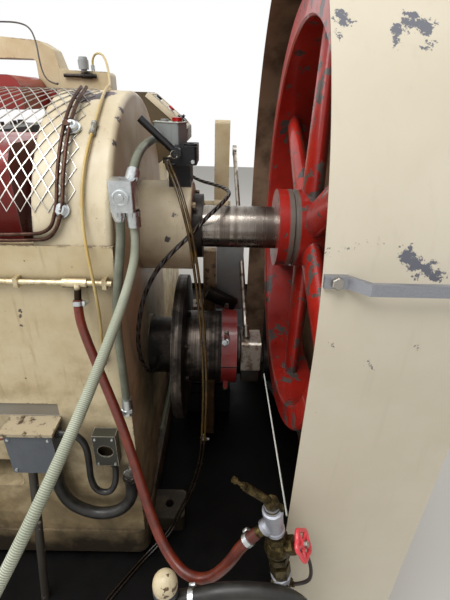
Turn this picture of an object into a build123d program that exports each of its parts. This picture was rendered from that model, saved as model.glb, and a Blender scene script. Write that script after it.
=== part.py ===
from build123d import *
import os
from math import cos, pi, radians, sin, tan

os.makedirs("parts", exist_ok=True)

# Cold header: the wire runs along -Y through the front wall to the die, and the ram
# drives along +Y. The crank lies along X, its flywheel on the +X side.
# Origin: on the floor, below the crank axis, on the bed's centre plane. +Z is up.

# Clearances
gap = 0.3            # between faces of pieces that move past each other
run = 0.06           # radial, in a bearing
seat = 0.02          # radial, where a wheel or gear sits on its shaft

# Crank line
crank_z = 1100
journal_r = 75
outboard_r = 64
journal_end = 650
shaft_end = 1130
web_r = 205
web_in = 285
web_out = 340
eccentric_r = 150
throw = 50

# Gears and the lower shaft
module = 8
pinion_teeth = 37
gear_teeth = 74
gear_in = 400
gear_out = 480
pressure = radians(20)
tooth_share = 0.455
cam_z = crank_z - module * (pinion_teeth + gear_teeth) / 2
cam_r = 45
cam_left = 250
flange_r = 100
flange_end = 604
disc_r = 255
disc_in = 617
disc_out = 649
hub_r = 125
hub_end = 768
collar_r = 131
collar_in = 770
collar_out = 822
crank_disc_r = 75
crank_disc_out = 835
feed_throw = 40
feed_pin_r = 18
feed_pin_end = 912

# Bed castings
side_x = 523         # half width of the crank section
side_wall = 173
crank_y = 367        # half length of the crank section, and radius of the arch covers
end_wall = 40
bed_z = 30
foot_z = 145
foot_step = 8
bay_floor = 360
seam_z = 1157
ram_x = 430          # half width of the ram section
front_y = 1600
bed_top = 1290
channel_x = 206
channel_z = 900
channel_end = 1443
core_wall = 40
core_top = 300
ram_core_top = 840
bush_wall = 10
tongue = 130         # half width of the bearing cap's tongue in its slot
pocket_in = 385      # gear pocket in the right wall
pocket_out = 493
pocket_r = module * (gear_teeth + 2) / 2 + 8
relief_x = 510       # plane of the set-back side face
relief_y = -80
relief_top = 930
lug_x = 585
lug_half = 60
lug_top = 75
lug_rear = -220
lug_front = 1420
bolt_r = 16
window = (-260, 362, 165, 478)
quill_x = 80
wire_z = crank_z
wire_hole_r = 12

# Bearing bosses
boss_r = 134
boss_end = 677
seal_r = 97
seal_end = 705

# Feed rod and rocker lever
feed_block = (838, -88, 607, 904, 8, 724)
rod_r = 9
rocker_y = 720
rocker_z = 990
rocker_in = 721
rocker_out = 789
rocker_top = 1368
rocker_shaft_r = 20
rocker_bore = 50
eye_y = 745
eye_z = 1240
eye_x = 812

# Pitman and ram
big_half_x = 270
big_half_y = 200
big_half_z = 250
big_corner = 60
pitman_length = 620
beam_x = 110
beam_z = 90
small_r = 100
wrist_r = 50
ram_rear = 520
ram_front = 1000
ram_pocket_x = 125
ram_pocket_z = 165
ram_pocket_end = 785
liner = 10
liner_rear = 460
liner_front = 1150
keep_in = 140
keep_out = 300
keep_t = 30
die_face = 1203.3
die_r = 45
wire_r = 8
punch_r = 18
punch_tip_r = 12
punch_tip = 1100
punch_pitch = 65
holder_t = 40
cutter_y = 1165
cutter_w = 35
cutter_h = 40
cutter_nose = 78
cutter_tail = 560

# Feed box
feed_wall = 30
feed_x0 = -20
feed_x1 = 180
feed_y1 = 1760
feed_z = 125
roll_y = 1680
roll_r = 50
roll_w = 60
roll_shaft_r = 15
inlet_r = 24
inlet_end = feed_y1 + 30

# Flywheel, guard, drive
wheel_r = 600
rim_t = 64
rim_left = 962
rim_right = 1102
wheel_hub_r = 117
wheel_hub_left = 927
wheel_hub_right = 1112
spokes = 6
guard_r = 716
guard_t = 3
guard_left = 903
guard_right = 1152
handle_z = 1240
handle_w = 17
handle_t = 7
handle_off = 22
motor_y = 480
motor_z = 250
motor_r = 118
motor_left = 560
motor_right = 880
motor_shaft_r = 24
pulley_r = 110
groove_r = 96
pulley_left = 985
pulley_right = 1085
belt_t = 10

# Oil pan
pan_floor = 4
pan_rim = 50
pan_left = -760
pan_right = 1170
pan_rear = -(guard_r + 144)
pan_front = 1830
pan_corner = 30

# Mesh guard over the crank bay
mesh_r = crank_y + gap
mesh_t = 3
mesh_half = 446
mesh_low = 20
mesh_high = 89
mesh_columns = 11
mesh_rows = 6

# Bridge and hood
bridge_rear = 380
bridge_front = 460
bridge_base_x = 362
bridge_base_z = 1526
bridge_open = 113
bridge_under = 1560
bridge_top = 1622
bridge_neck = 176
hood_x = 136
hood_rear = 180
hood_low = 1408
hood_top = 1504
hood_t = 4

# Controls
console_rear = 400
console_front = 560
console_high = (487, 1468)
console_low = (628, 1353)
button_r = 11
button_stem_r = 6
button_travel = 4
control_box = (628, -60, 1288, 690, 60, 1337)
push_box_at = (612, 20, 1337)
push_box = (84, 45, 54)
push_box_turn = -30
lever_hub = (640, -105, 1326)
lever_tip = (552, -105, 1406)
lever_r = 10
outlet = (527, -372, 1236, 581, -318, 1301)


def yz(x):
    return Plane.YZ.offset(x)


def xz(y):
    return Plane.XZ.offset(-y)


def xy(z):
    return Plane.XY.offset(z)


def block(x0, y0, z0, x1, y1, z1):
    # A box between two corners.
    with BuildPart() as piece:
        with Locations((x0, y0, z0)):
            Box(x1 - x0, y1 - y0, z1 - z0, align=(Align.MIN, Align.MIN, Align.MIN))
    return piece.part


def rod(start, end, radius, bore=0):
    # A round bar or tube from one point to another.
    way = Vector(end) - Vector(start)
    with BuildPart() as piece:
        with BuildSketch(Plane(origin=start, z_dir=way)):
            Circle(radius)
            if bore:
                Circle(bore, mode=Mode.SUBTRACT)
        extrude(amount=way.length)
    return piece.part


def hexagon(start, end, across):
    # A hexagon nut between two points, across its flats.
    way = Vector(end) - Vector(start)
    with BuildPart() as piece:
        with BuildSketch(Plane(origin=start, z_dir=way)):
            RegularPolygon(across / 2, 6, major_radius=False)
        extrude(amount=way.length)
    return piece.part


def routed(name, points, radius):
    # A tube of straight runs joined by arcs as large as the runs allow.
    legs = [Vector(b) - Vector(a) for a, b in zip(points, points[1:])]
    radii = []
    for before, after in zip(legs, legs[1:]):
        turn = radians(before.get_angle(after))
        radii.append(0.45 * min(before.length, after.length) / tan(turn / 2))
    with BuildPart() as tube:
        with BuildLine() as route:
            FilletPolyline(*points, radius=radii)
        with BuildSketch(Plane(origin=points[0], z_dir=legs[0])):
            Circle(radius)
        sweep()
    length = sum(edge.length for edge in route.edges())
    share = tube.part.volume / (pi * radius**2 * length)
    print(name, "length", round(length), "least radius", round(min(radii)), "volume share", round(share, 4))
    return tube.part


def gear_outline(teeth, gap_at_top):
    # Straight-flanked teeth on the root circle, a tooth or a gap at the top.
    pitch_r = module * teeth / 2
    half = tooth_share * pi * module / 2
    points = []
    for i in range(teeth):
        middle = pi / 2 + 2 * pi * (i + (0.5 if gap_at_top else 0)) / teeth
        for rise, side in ((-1.25, -1), (1, -1), (1, 1), (-1.25, 1)):
            r = pitch_r + rise * module
            turn = (half - rise * module * tan(pressure)) / pitch_r * side
            points.append((r * cos(middle + turn), r * sin(middle + turn)))
    return points


# Oil pan: a welded tray that the machine stands in
with BuildPart() as oil_pan:
    with BuildSketch(xy(0)) as pan_plan:
        with Locations(((pan_left + pan_right) / 2, (pan_rear + pan_front) / 2)):
            RectangleRounded(pan_right - pan_left, pan_front - pan_rear, pan_corner)
    extrude(amount=pan_rim)
    with BuildSketch(xy(pan_floor)):
        with Locations(((pan_left + pan_right) / 2, (pan_rear + pan_front) / 2)):
            RectangleRounded(pan_right - pan_left - 2 * pan_floor, pan_front - pan_rear - 2 * pan_floor,
                             pan_corner - pan_floor)
    extrude(amount=pan_rim, mode=Mode.SUBTRACT)
    with BuildSketch(xy(0)):
        with Locations(*[(x, y) for x in (-lug_x, lug_x) for y in (lug_rear, lug_front)]):
            Circle(bolt_r)
    extrude(amount=pan_rim, mode=Mode.SUBTRACT)
oil_pan.part.label = "oil_pan"
export_step(oil_pan.part, "parts/oil_pan.step")

# Bed: crank section and ram section, two castings bolted face to face
with BuildPart() as bed:
    with BuildSketch(xy(foot_z)):
        Rectangle(2 * side_x, 2 * crank_y)
    extrude(amount=seam_z - foot_z)
    with BuildSketch(xy(foot_z)):
        with Locations((0, (crank_y + front_y) / 2)):
            Rectangle(2 * ram_x, front_y - crank_y)
    extrude(amount=bed_top - foot_z)
    # foot flange
    with BuildSketch(xy(bed_z)):
        RectangleRounded(2 * (side_x + foot_step), 2 * (crank_y + foot_step), 40)
        with Locations((0, (crank_y + front_y) / 2)):
            RectangleRounded(2 * (ram_x + foot_step), front_y - crank_y + 2 * foot_step, 40)
    extrude(amount=foot_z - bed_z)
    # anchor lugs on cast bars, with feet below them
    for lug_y in (lug_rear, lug_front):
        with BuildSketch(xy(bed_z)):
            with Locations((0, lug_y)):
                RectangleRounded(2 * (lug_x + lug_half), 2 * lug_half, 20)
        extrude(amount=lug_top - bed_z)
        with BuildSketch(xy(pan_floor)):
            with Locations((-lug_x, lug_y), (lug_x, lug_y)):
                RectangleRounded(2 * lug_half, 2 * lug_half, 20)
        extrude(amount=bed_z - pan_floor)
    with BuildSketch(xy(pan_floor)):
        with Locations(*[(x, y) for x in (-ram_x, ram_x) for y in (500, 960)]):
            RectangleRounded(lug_half, 2 * lug_half, 10)
    extrude(amount=bed_z - pan_floor)
    # crank bay and ram channel, open at the top
    add(block(-side_x + side_wall, -crank_y + end_wall, bay_floor, side_x - side_wall, crank_y, bed_top + 1),
        mode=Mode.SUBTRACT)
    add(block(-channel_x, crank_y - 1, channel_z, channel_x, channel_end, bed_top + 1), mode=Mode.SUBTRACT)
    # cores, open below
    with BuildSketch(xy(pan_floor)):
        Rectangle(2 * (side_x - core_wall), 2 * (crank_y - core_wall))
    extrude(amount=core_top - pan_floor, mode=Mode.SUBTRACT)
    with BuildSketch(xy(pan_floor)):
        with Locations((0, (crank_y + front_y) / 2)):
            Rectangle(2 * (ram_x - core_wall), front_y - crank_y - 2 * core_wall)
    extrude(amount=ram_core_top - pan_floor, mode=Mode.SUBTRACT)
    # crank bores and the slots of the bearing caps
    add(rod((-side_x - 1, 0, crank_z), (side_x + 1, 0, crank_z), journal_r + bush_wall), mode=Mode.SUBTRACT)
    add(block(-side_x - 1, -tongue - gap, crank_z, side_x + 1, tongue + gap, seam_z + 1), mode=Mode.SUBTRACT)
    # gear pocket
    with BuildSketch(yz(pocket_in)):
        with Locations((0, cam_z)):
            Circle(pocket_r)
            Rectangle(2 * pocket_r, seam_z + 1 - cam_z, align=(Align.CENTER, Align.MIN))
    extrude(amount=pocket_out - pocket_in, mode=Mode.SUBTRACT)
    # set-back side face, round the machined pad of the lower bearing
    with BuildSketch(yz(relief_x)):
        with Locations((relief_y, foot_z)):
            Rectangle(crank_y - relief_y + 1, relief_top - foot_z, align=(Align.MIN, Align.MIN))
        with Locations((0, cam_z)):
            Circle(flange_r + 10, mode=Mode.SUBTRACT)
    extrude(amount=side_x - relief_x + 1, mode=Mode.SUBTRACT)
    add(rod((side_x - side_wall - 1, 0, cam_z), (side_x + 1, 0, cam_z), cam_r + bush_wall),
        mode=Mode.SUBTRACT)
    # window and machined band in the rear wall
    with BuildSketch(xz(-crank_y - foot_step)):
        with Locations(((window[0] + window[2]) / 2, (window[1] + window[3]) / 2)):
            RectangleRounded(window[2] - window[0], window[3] - window[1], 24)
    extrude(amount=-end_wall - foot_step - 1, mode=Mode.SUBTRACT)
    add(block(-322, -crank_y - 1, 656, 322, -crank_y + 5, 700), mode=Mode.SUBTRACT)
    # wire hole, cutter slot, rocker shaft bore
    add(rod((quill_x, channel_end - 1, wire_z), (quill_x, front_y + 1, wire_z), wire_hole_r),
        mode=Mode.SUBTRACT)
    add(block(channel_x - 1, cutter_y - gap, wire_z - cutter_h / 2 - gap, ram_x + 1,
              cutter_y + cutter_w + gap, wire_z + cutter_h / 2 + gap), mode=Mode.SUBTRACT)
    add(rod((ram_x - rocker_bore, rocker_y, rocker_z), (ram_x + 1, rocker_y, rocker_z), rocker_shaft_r + run),
        mode=Mode.SUBTRACT)
    # anchor holes
    with BuildSketch(xy(pan_floor)):
        with Locations(*[(x, y) for x in (-lug_x, lug_x) for y in (lug_rear, lug_front)]):
            Circle(bolt_r)
    extrude(amount=lug_top, mode=Mode.SUBTRACT)
    # joint face of the two castings
    split(bisect_by=Plane(origin=(0, crank_y, 0), z_dir=(0, 1, 0)), keep=Keep.BOTH)
bed.part.label = "bed"
export_step(bed.part, "parts/bed.step")

# Arch covers: half-round castings on the side walls, with the bearing caps' tongues
with BuildPart() as arch_covers:
    with BuildSketch(yz(side_x - side_wall)):
        with Locations((0, crank_z)):
            Circle(crank_y)
        with Locations((0, seam_z)):
            Rectangle(3 * crank_y, 3 * crank_y, align=(Align.CENTER, Align.MAX), mode=Mode.SUBTRACT)
            Rectangle(2 * tongue, seam_z - crank_z, align=(Align.CENTER, Align.MAX))
        with Locations((0, crank_z)):
            Circle(journal_r + bush_wall, mode=Mode.SUBTRACT)
    extrude(amount=side_wall)
    rims = arch_covers.edges().filter_by(GeomType.CIRCLE)
    rims = rims.filter_by(lambda edge: abs(edge.radius - crank_y) < 0.01)
    fillet(rims.sort_by(Axis.X)[-1], radius=14)
    with BuildSketch(yz(pocket_in)):
        with Locations((0, crank_z)):
            Circle(pocket_r + 4)
            with Locations((0, 0)):
                Rectangle(3 * crank_y, 2 * crank_y, align=(Align.CENTER, Align.MAX), mode=Mode.SUBTRACT)
    extrude(amount=pocket_out - pocket_in, mode=Mode.SUBTRACT)
    mirror(about=Plane.YZ)
arch_covers.part.label = "arch_covers"
export_step(arch_covers.part, "parts/arch_covers.step")

# Bearing housings: turned bosses on both side walls
with BuildPart() as bearing_housings:
    with BuildSketch(yz(side_x)):
        with Locations((0, crank_z)):
            Circle(boss_r)
            Circle(journal_r + bush_wall, mode=Mode.SUBTRACT)
    extrude(amount=boss_end - side_x)
    noses = bearing_housings.edges().filter_by(GeomType.CIRCLE)
    noses = noses.filter_by(lambda edge: abs(edge.radius - boss_r) < 0.01)
    fillet(noses.sort_by(Axis.X)[-1], radius=7)
    mirror(about=Plane.YZ)
bearing_housings.part.label = "bearing_housings"
export_step(bearing_housings.part, "parts/bearing_housings.step")

# Bronze bushes of the crank and of the lower shaft
with BuildPart() as bearing_bushes:
    for left, right in ((-boss_end, -(side_x - side_wall)), (side_x - side_wall, pocket_in),
                        (pocket_out, boss_end)):
        add(rod((left, 0, crank_z), (right, 0, crank_z), journal_r + bush_wall, journal_r + run))
    for left, right in ((side_x - side_wall, pocket_in), (pocket_out, flange_end)):
        add(rod((left, 0, cam_z), (right, 0, cam_z), cam_r + bush_wall, cam_r + run))
bearing_bushes.part.label = "bearing_bushes"
export_step(bearing_bushes.part, "parts/bearing_bushes.step")

# Seal plate at the flywheel side, closed cap at the other, and the lower bearing's flange
with BuildPart() as bearing_plates:
    add(rod((boss_end, 0, crank_z), (seal_end, 0, crank_z), seal_r, outboard_r + run))
    add(rod((-seal_end, 0, crank_z), (-boss_end, 0, crank_z), seal_r))
    add(rod((side_x, 0, cam_z), (flange_end, 0, cam_z), flange_r, cam_r + bush_wall))
    with BuildSketch(yz(flange_end)):
        with Locations((0, cam_z)):
            with PolarLocations(78, 6, start_angle=30):
                RegularPolygon(12, 6)
    extrude(amount=8)
bearing_plates.part.label = "bearing_plates"
export_step(bearing_plates.part, "parts/bearing_plates.step")

# Crankshaft with its eccentric, at back dead centre
with BuildPart() as crankshaft:
    for left, right, radius, offset in (
            (-journal_end + 10, -web_in, journal_r, 0), (-web_out, -web_in, web_r, 0),
            (-web_in, web_in, eccentric_r, -throw), (web_in, web_out, web_r, 0),
            (web_in, journal_end, journal_r, 0), (journal_end, shaft_end, outboard_r, 0)):
        add(rod((left, offset, crank_z), (right, offset, crank_z), radius))
crankshaft.part.label = "crankshaft"
export_step(crankshaft.part, "parts/crankshaft.step")

# Pinion on the crankshaft, a tooth pointing down
crank_gear_bore = rod((gear_in - 1, 0, crank_z), (gear_out + 1, 0, crank_z), journal_r + seat)
with BuildPart() as crank_gear:
    with BuildSketch(yz(gear_in)):
        with BuildLine():
            Polyline(*[(y, z + crank_z) for y, z in gear_outline(pinion_teeth, True)], close=True)
        make_face()
    extrude(amount=gear_out - gear_in)
    add(crank_gear_bore, mode=Mode.SUBTRACT)
crank_gear.part.label = "crank_gear"
export_step(crank_gear.part, "parts/crank_gear.step")

# Gear on the lower shaft, with a recessed web
with BuildPart() as cam_gear:
    with BuildSketch(yz(gear_in)):
        with BuildLine():
            Polyline(*[(y, z + cam_z) for y, z in gear_outline(gear_teeth, True)], close=True)
        make_face()
    extrude(amount=gear_out - gear_in)
    for face_x, depth in ((gear_in, 25), (gear_out, -25)):
        with BuildSketch(yz(face_x)):
            with Locations((0, cam_z)):
                Circle(245)
                Circle(85, mode=Mode.SUBTRACT)
        extrude(amount=depth, mode=Mode.SUBTRACT)
    with BuildSketch(yz(gear_in)):
        with Locations((0, cam_z)):
            Circle(cam_r + seat)
            with PolarLocations(165, 4, start_angle=45):
                Circle(45)
    extrude(amount=gear_out - gear_in, mode=Mode.SUBTRACT)
cam_gear.part.label = "cam_gear"
export_step(cam_gear.part, "parts/cam_gear.step")

# Lower shaft with its cam disc, hub, crank disc and pin
with BuildPart() as cam_shaft:
    for left, right, radius in ((cam_left, crank_disc_out, cam_r), (disc_in, disc_out, disc_r),
                                (disc_out, hub_end, hub_r), (collar_out + 4, crank_disc_out, crank_disc_r)):
        add(rod((left, 0, cam_z), (right, 0, cam_z), radius))
    add(rod((crank_disc_out, -feed_throw, cam_z), (feed_pin_end, -feed_throw, cam_z), feed_pin_r))
cam_shaft.part.label = "cam_shaft"
export_step(cam_shaft.part, "parts/cam_shaft.step")

# Split collar, clamped by square-headed bolts
with BuildPart() as split_collar:
    add(rod((collar_in, 0, cam_z), (collar_out, 0, cam_z), collar_r, cam_r + seat))
    add(block(collar_in - 1, -collar_r - 1, cam_z - 2, collar_out + 1, collar_r + 1, cam_z + 2),
        mode=Mode.SUBTRACT)
    with BuildSketch(yz(collar_out)):
        with Locations((0, cam_z)):
            with PolarLocations(92, 4, start_angle=45):
                Rectangle(26, 26)
    extrude(amount=-20, mode=Mode.SUBTRACT)
    for side in (-1, 1):
        for level in (-1, 1):
            bolt_y = side * 96
            add(block(collar_in + 8, bolt_y - 10, cam_z + 56 * level - 54, collar_out - 28, bolt_y + 10,
                      cam_z + 56 * level + 54))
split_collar.part.label = "split_collar"
export_step(split_collar.part, "parts/split_collar.step")

# Feed rod: bright block on the crank pin, and the long rod to the rocker lever
with BuildPart() as feed_rod:
    add(block(*feed_block))
    chamfer(feed_rod.edges().filter_by(Axis.X), length=6)
    add(hexagon((854, -36, feed_block[5] - 4), (851, -24, 750), 26))
    add(routed("feed rod", [(856, -44, 700), (851, -20, 760), (830, 400, 1030), (eye_x, eye_y, eye_z)],
               rod_r))
    add(rod((feed_block[0] - 1, -feed_throw, cam_z), (feed_block[3] + 1, -feed_throw, cam_z),
            feed_pin_r + run), mode=Mode.SUBTRACT)
    add(rod((eye_x - 9, eye_y, eye_z), (eye_x + 9, eye_y, eye_z), 22))
    add(rod((eye_x - 10, eye_y, eye_z), (eye_x + 10, eye_y, eye_z), 10), mode=Mode.SUBTRACT)
feed_rod.part.label = "feed_rod"
export_step(feed_rod.part, "parts/feed_rod.step")

# Rocker lever of the feed, on its shaft
with BuildPart() as feed_lever:
    with BuildSketch(yz(rocker_in)):
        with Locations((rocker_y, (rocker_z - 34 + rocker_top) / 2)):
            RectangleRounded(42, rocker_top - rocker_z + 34, 16)
        with Locations((rocker_y, rocker_z)):
            Circle(38)
    extrude(amount=rocker_out - rocker_in)
    add(rod((ram_x - rocker_bore + gap, rocker_y, rocker_z), (800, rocker_y, rocker_z), rocker_shaft_r))
feed_lever.part.label = "feed_lever"
export_step(feed_lever.part, "parts/feed_lever.step")


def pitman_half(side):
    # One half of the split big end, on the given side of the eccentric's centre.
    with BuildPart() as half:
        with BuildSketch(yz(-big_half_x)):
            with Locations((-throw, crank_z)):
                RectangleRounded(2 * big_half_y, 2 * big_half_z, big_corner)
                Circle(eccentric_r + run, mode=Mode.SUBTRACT)
            with Locations((-throw, crank_z)):
                Rectangle(2 * big_half_y, 4 * big_half_z,
                          align=(Align.MAX if side > 0 else Align.MIN, Align.CENTER), mode=Mode.SUBTRACT)
        extrude(amount=2 * big_half_x)
    return half.part


# Pitman: big-end half, tapered beam and small end
with BuildPart() as pitman:
    add(pitman_half(1))
    beam_root = big_half_y - throw
    with BuildSketch(xz(beam_root)):
        with Locations((0, crank_z)):
            Rectangle(2 * 230, 2 * 170)
    with BuildSketch(xz(beam_root + 200)):
        with Locations((0, crank_z)):
            Rectangle(2 * beam_x, 2 * beam_z)
    loft()
    add(block(-beam_x, beam_root + 200, crank_z - beam_z, beam_x, pitman_length - throw, crank_z + beam_z))
    add(rod((-beam_x, pitman_length - throw, crank_z), (beam_x, pitman_length - throw, crank_z), small_r))
    add(rod((-beam_x - 1, pitman_length - throw, crank_z), (beam_x + 1, pitman_length - throw, crank_z),
            wrist_r + seat), mode=Mode.SUBTRACT)
pitman.part.label = "pitman"
export_step(pitman.part, "parts/pitman.step")

# Cap of the big end, with its four nuts
with BuildPart() as pitman_cap:
    add(pitman_half(-1))
    cap_rear = -throw - big_half_y
    for x in (-190, 190):
        for z in (-190, 190):
            add(hexagon((x, cap_rear, crank_z + z), (x, cap_rear - 26, crank_z + z), 46))
pitman_cap.part.label = "pitman_cap"
export_step(pitman_cap.part, "parts/pitman_cap.step")

# Wrist pin, pressed into the small end
wrist_half = ram_pocket_x - 5
with BuildPart() as wrist_pin:
    pin_y = pitman_length - throw
    add(rod((-wrist_half, pin_y, crank_z), (wrist_half, pin_y, crank_z), wrist_r))
wrist_pin.part.label = "wrist_pin"
export_step(wrist_pin.part, "parts/wrist_pin.step")

# Ram, hollow at the rear for the pitman
ram_side = channel_x - liner - gap
with BuildPart() as ram:
    add(block(-ram_side, ram_rear, channel_z + liner + gap, ram_side, ram_front, bed_top - gap))
    chamfer(ram.edges().filter_by(Axis.Z), length=8)
    add(block(-ram_pocket_x, ram_rear - 1, crank_z - ram_pocket_z, ram_pocket_x, ram_pocket_end, bed_top),
        mode=Mode.SUBTRACT)
    add(block(-ram_side + 40, ram_front - 150, bed_top - gap - 14, ram_side - 40, ram_front - 40, bed_top),
        mode=Mode.SUBTRACT)
ram.part.label = "ram"
export_step(ram.part, "parts/ram.step")

# Punch holder and its two punches
with BuildPart() as punches:
    add(block(-120, ram_front, wire_z - 80, 120, ram_front + holder_t, wire_z + punch_pitch + 60))
    for z in (wire_z, wire_z + punch_pitch):
        add(rod((0, ram_front + holder_t, z), (0, ram_front + holder_t + 25, z), punch_r + 8))
        add(rod((0, ram_front + holder_t + 25, z), (0, punch_tip - 15, z), punch_r))
        add(rod((0, punch_tip - 15, z), (0, punch_tip, z), punch_tip_r))
punches.part.label = "punches"
export_step(punches.part, "parts/punches.step")

# Ram guides: bottom and side liners, and the keep plates over the ram
with BuildPart() as ram_guides:
    add(block(-channel_x, liner_rear, channel_z, channel_x, liner_front, channel_z + liner))
    for side in (-1, 1):
        xs = sorted((side * channel_x, side * (channel_x - liner)))
        add(block(xs[0], liner_rear, channel_z + liner, xs[1], liner_front, bed_top))
        xs = sorted((side * keep_in, side * keep_out))
        add(block(xs[0], 480, bed_top, xs[1], 1010, bed_top + keep_t))
        for y in (530, 650, 770, 890, 970):
            add(hexagon((side * 262, y, bed_top + keep_t), (side * 262, y, bed_top + keep_t + 15), 30))
ram_guides.part.label = "ram_guides"
export_step(ram_guides.part, "parts/ram_guides.step")

# Die block with its die and its quill
with BuildPart() as die_block:
    add(block(-channel_x, die_face, channel_z, channel_x, channel_end, bed_top))
    add(rod((0, die_face - 1, wire_z), (0, die_face + 90, wire_z), die_r), mode=Mode.SUBTRACT)
    add(rod((0, die_face, wire_z), (0, channel_end, wire_z), 10), mode=Mode.SUBTRACT)
    add(rod((quill_x, die_face - 1, wire_z), (quill_x, channel_end + 1, wire_z), 30), mode=Mode.SUBTRACT)
with BuildPart() as die_set:
    add(die_block.part)
    add(rod((0, die_face, wire_z), (0, die_face + 90, wire_z), die_r - seat, wire_r))
    add(rod((quill_x, die_face, wire_z), (quill_x, channel_end, wire_z), 30 - seat, wire_r))
die_set.part.label = "die_block"
export_step(die_set.part, "parts/die_block.step")

# Cutter slide through the side wall
with BuildPart() as cutter:
    add(block(cutter_nose, cutter_y, wire_z - cutter_h / 2,
              cutter_tail, cutter_y + cutter_w, wire_z + cutter_h / 2))
    add(rod((cutter_nose, cutter_y - 1, wire_z), (cutter_nose, cutter_y + cutter_w + 1, wire_z), wire_r),
        mode=Mode.SUBTRACT)
    add(rod((cutter_tail - 20, cutter_y + cutter_w / 2, wire_z - 35),
            (cutter_tail - 20, cutter_y + cutter_w / 2, wire_z + 35), 14))
cutter.part.label = "cutter"
export_step(cutter.part, "parts/cutter.step")

# Feed box with the inlet bush
with BuildPart() as feed_box:
    add(block(feed_x0, front_y, wire_z - feed_z, feed_x1, feed_y1, wire_z + feed_z))
    add(block(feed_x0 + feed_wall, front_y + 15, wire_z - feed_z - 1, feed_x1 - feed_wall, feed_y1 - 15,
              wire_z + feed_z + 1), mode=Mode.SUBTRACT)
    add(rod((quill_x, feed_y1, wire_z), (quill_x, inlet_end, wire_z), inlet_r))
    add(rod((quill_x, front_y - 1, wire_z), (quill_x, front_y + 16, wire_z), wire_hole_r), mode=Mode.SUBTRACT)
    add(rod((quill_x, feed_y1 - 16, wire_z), (quill_x, inlet_end + 1, wire_z), wire_r), mode=Mode.SUBTRACT)
    for z in (-1, 1):
        roll_z = wire_z + z * (wire_r + roll_r)
        add(rod((feed_x0 - 1, roll_y, roll_z), (feed_x1 + 1, roll_y, roll_z), roll_shaft_r + run),
            mode=Mode.SUBTRACT)
feed_box.part.label = "feed_box"
export_step(feed_box.part, "parts/feed_box.step")

# Feed rolls with their shafts
with BuildPart() as feed_roll_upper:
    add(rod((quill_x - roll_w / 2, roll_y, wire_z + wire_r + roll_r),
            (quill_x + roll_w / 2, roll_y, wire_z + wire_r + roll_r), roll_r))
    add(rod((feed_x0 - 20, roll_y, wire_z + wire_r + roll_r),
            (feed_x1 + 20, roll_y, wire_z + wire_r + roll_r), roll_shaft_r))
feed_roll_upper.part.label = "feed_roll_upper"
export_step(feed_roll_upper.part, "parts/feed_roll_upper.step")

with BuildPart() as feed_roll_lower:
    add(rod((quill_x - roll_w / 2, roll_y, wire_z - wire_r - roll_r),
            (quill_x + roll_w / 2, roll_y, wire_z - wire_r - roll_r), roll_r))
    add(rod((feed_x0 - 20, roll_y, wire_z - wire_r - roll_r),
            (feed_x1 + 20, roll_y, wire_z - wire_r - roll_r), roll_shaft_r))
feed_roll_lower.part.label = "feed_roll_lower"
export_step(feed_roll_lower.part, "parts/feed_roll_lower.step")

# Flywheel: rim, hub and six tapered oval spokes
rim_in = wheel_r - rim_t
rim_mid = (rim_left + rim_right) / 2
with BuildPart() as flywheel:
    with BuildSketch(Plane.XZ) as wheel_section:
        with Locations((rim_left, crank_z + rim_in)):
            Rectangle(rim_right - rim_left, rim_t, align=(Align.MIN, Align.MIN))
        chamfer(wheel_section.vertices(), length=5)
    revolve(axis=Axis((0, 0, crank_z), (1, 0, 0)))
    with BuildSketch(Plane.XZ) as hub_section:
        with Locations((wheel_hub_left, crank_z + outboard_r + seat)):
            Rectangle(wheel_hub_right - wheel_hub_left, wheel_hub_r - outboard_r - seat,
                      align=(Align.MIN, Align.MIN))
        with Locations((975, crank_z + wheel_hub_r)):
            Rectangle(8, 12, mode=Mode.SUBTRACT)
    revolve(axis=Axis((0, 0, crank_z), (1, 0, 0)))
    for i in range(spokes):
        angle = 360 * i / spokes + 30
        way = (0, cos(radians(angle)), sin(radians(angle)))
        for reach, across, thick in ((wheel_hub_r - 12, 104, 62), (rim_in + 8, 78, 46)):
            with BuildSketch(Plane(origin=(rim_mid, way[1] * reach, crank_z + way[2] * reach),
                                   x_dir=(1, 0, 0), z_dir=way)):
                Ellipse(thick / 2, across / 2)
        loft()
flywheel.part.label = "flywheel"
export_step(flywheel.part, "parts/flywheel.step")

# Sheet guard round the flywheel
with BuildPart() as guard_wrap:
    with BuildSketch(yz(guard_left)):
        for radius, mode, low in ((guard_r, Mode.ADD, pan_floor), (guard_r - guard_t, Mode.SUBTRACT, -20)):
            with Locations((0, crank_z)):
                Circle(radius, mode=mode)
                Rectangle(2 * radius, crank_z - low, align=(Align.CENTER, Align.MAX), mode=mode)
    extrude(amount=guard_right - guard_left)
guard_wrap.part.label = "guard_wrap"
export_step(guard_wrap.part, "parts/guard_wrap.step")

with BuildPart() as guard_side_plate:
    with BuildSketch(yz(guard_right)):
        with Locations((0, crank_z)):
            Circle(guard_r)
            Rectangle(2 * guard_r, crank_z - pan_floor, align=(Align.CENTER, Align.MAX))
    extrude(amount=guard_t)
guard_side_plate.part.label = "guard_side_plate"
export_step(guard_side_plate.part, "parts/guard_side_plate.step")

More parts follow.
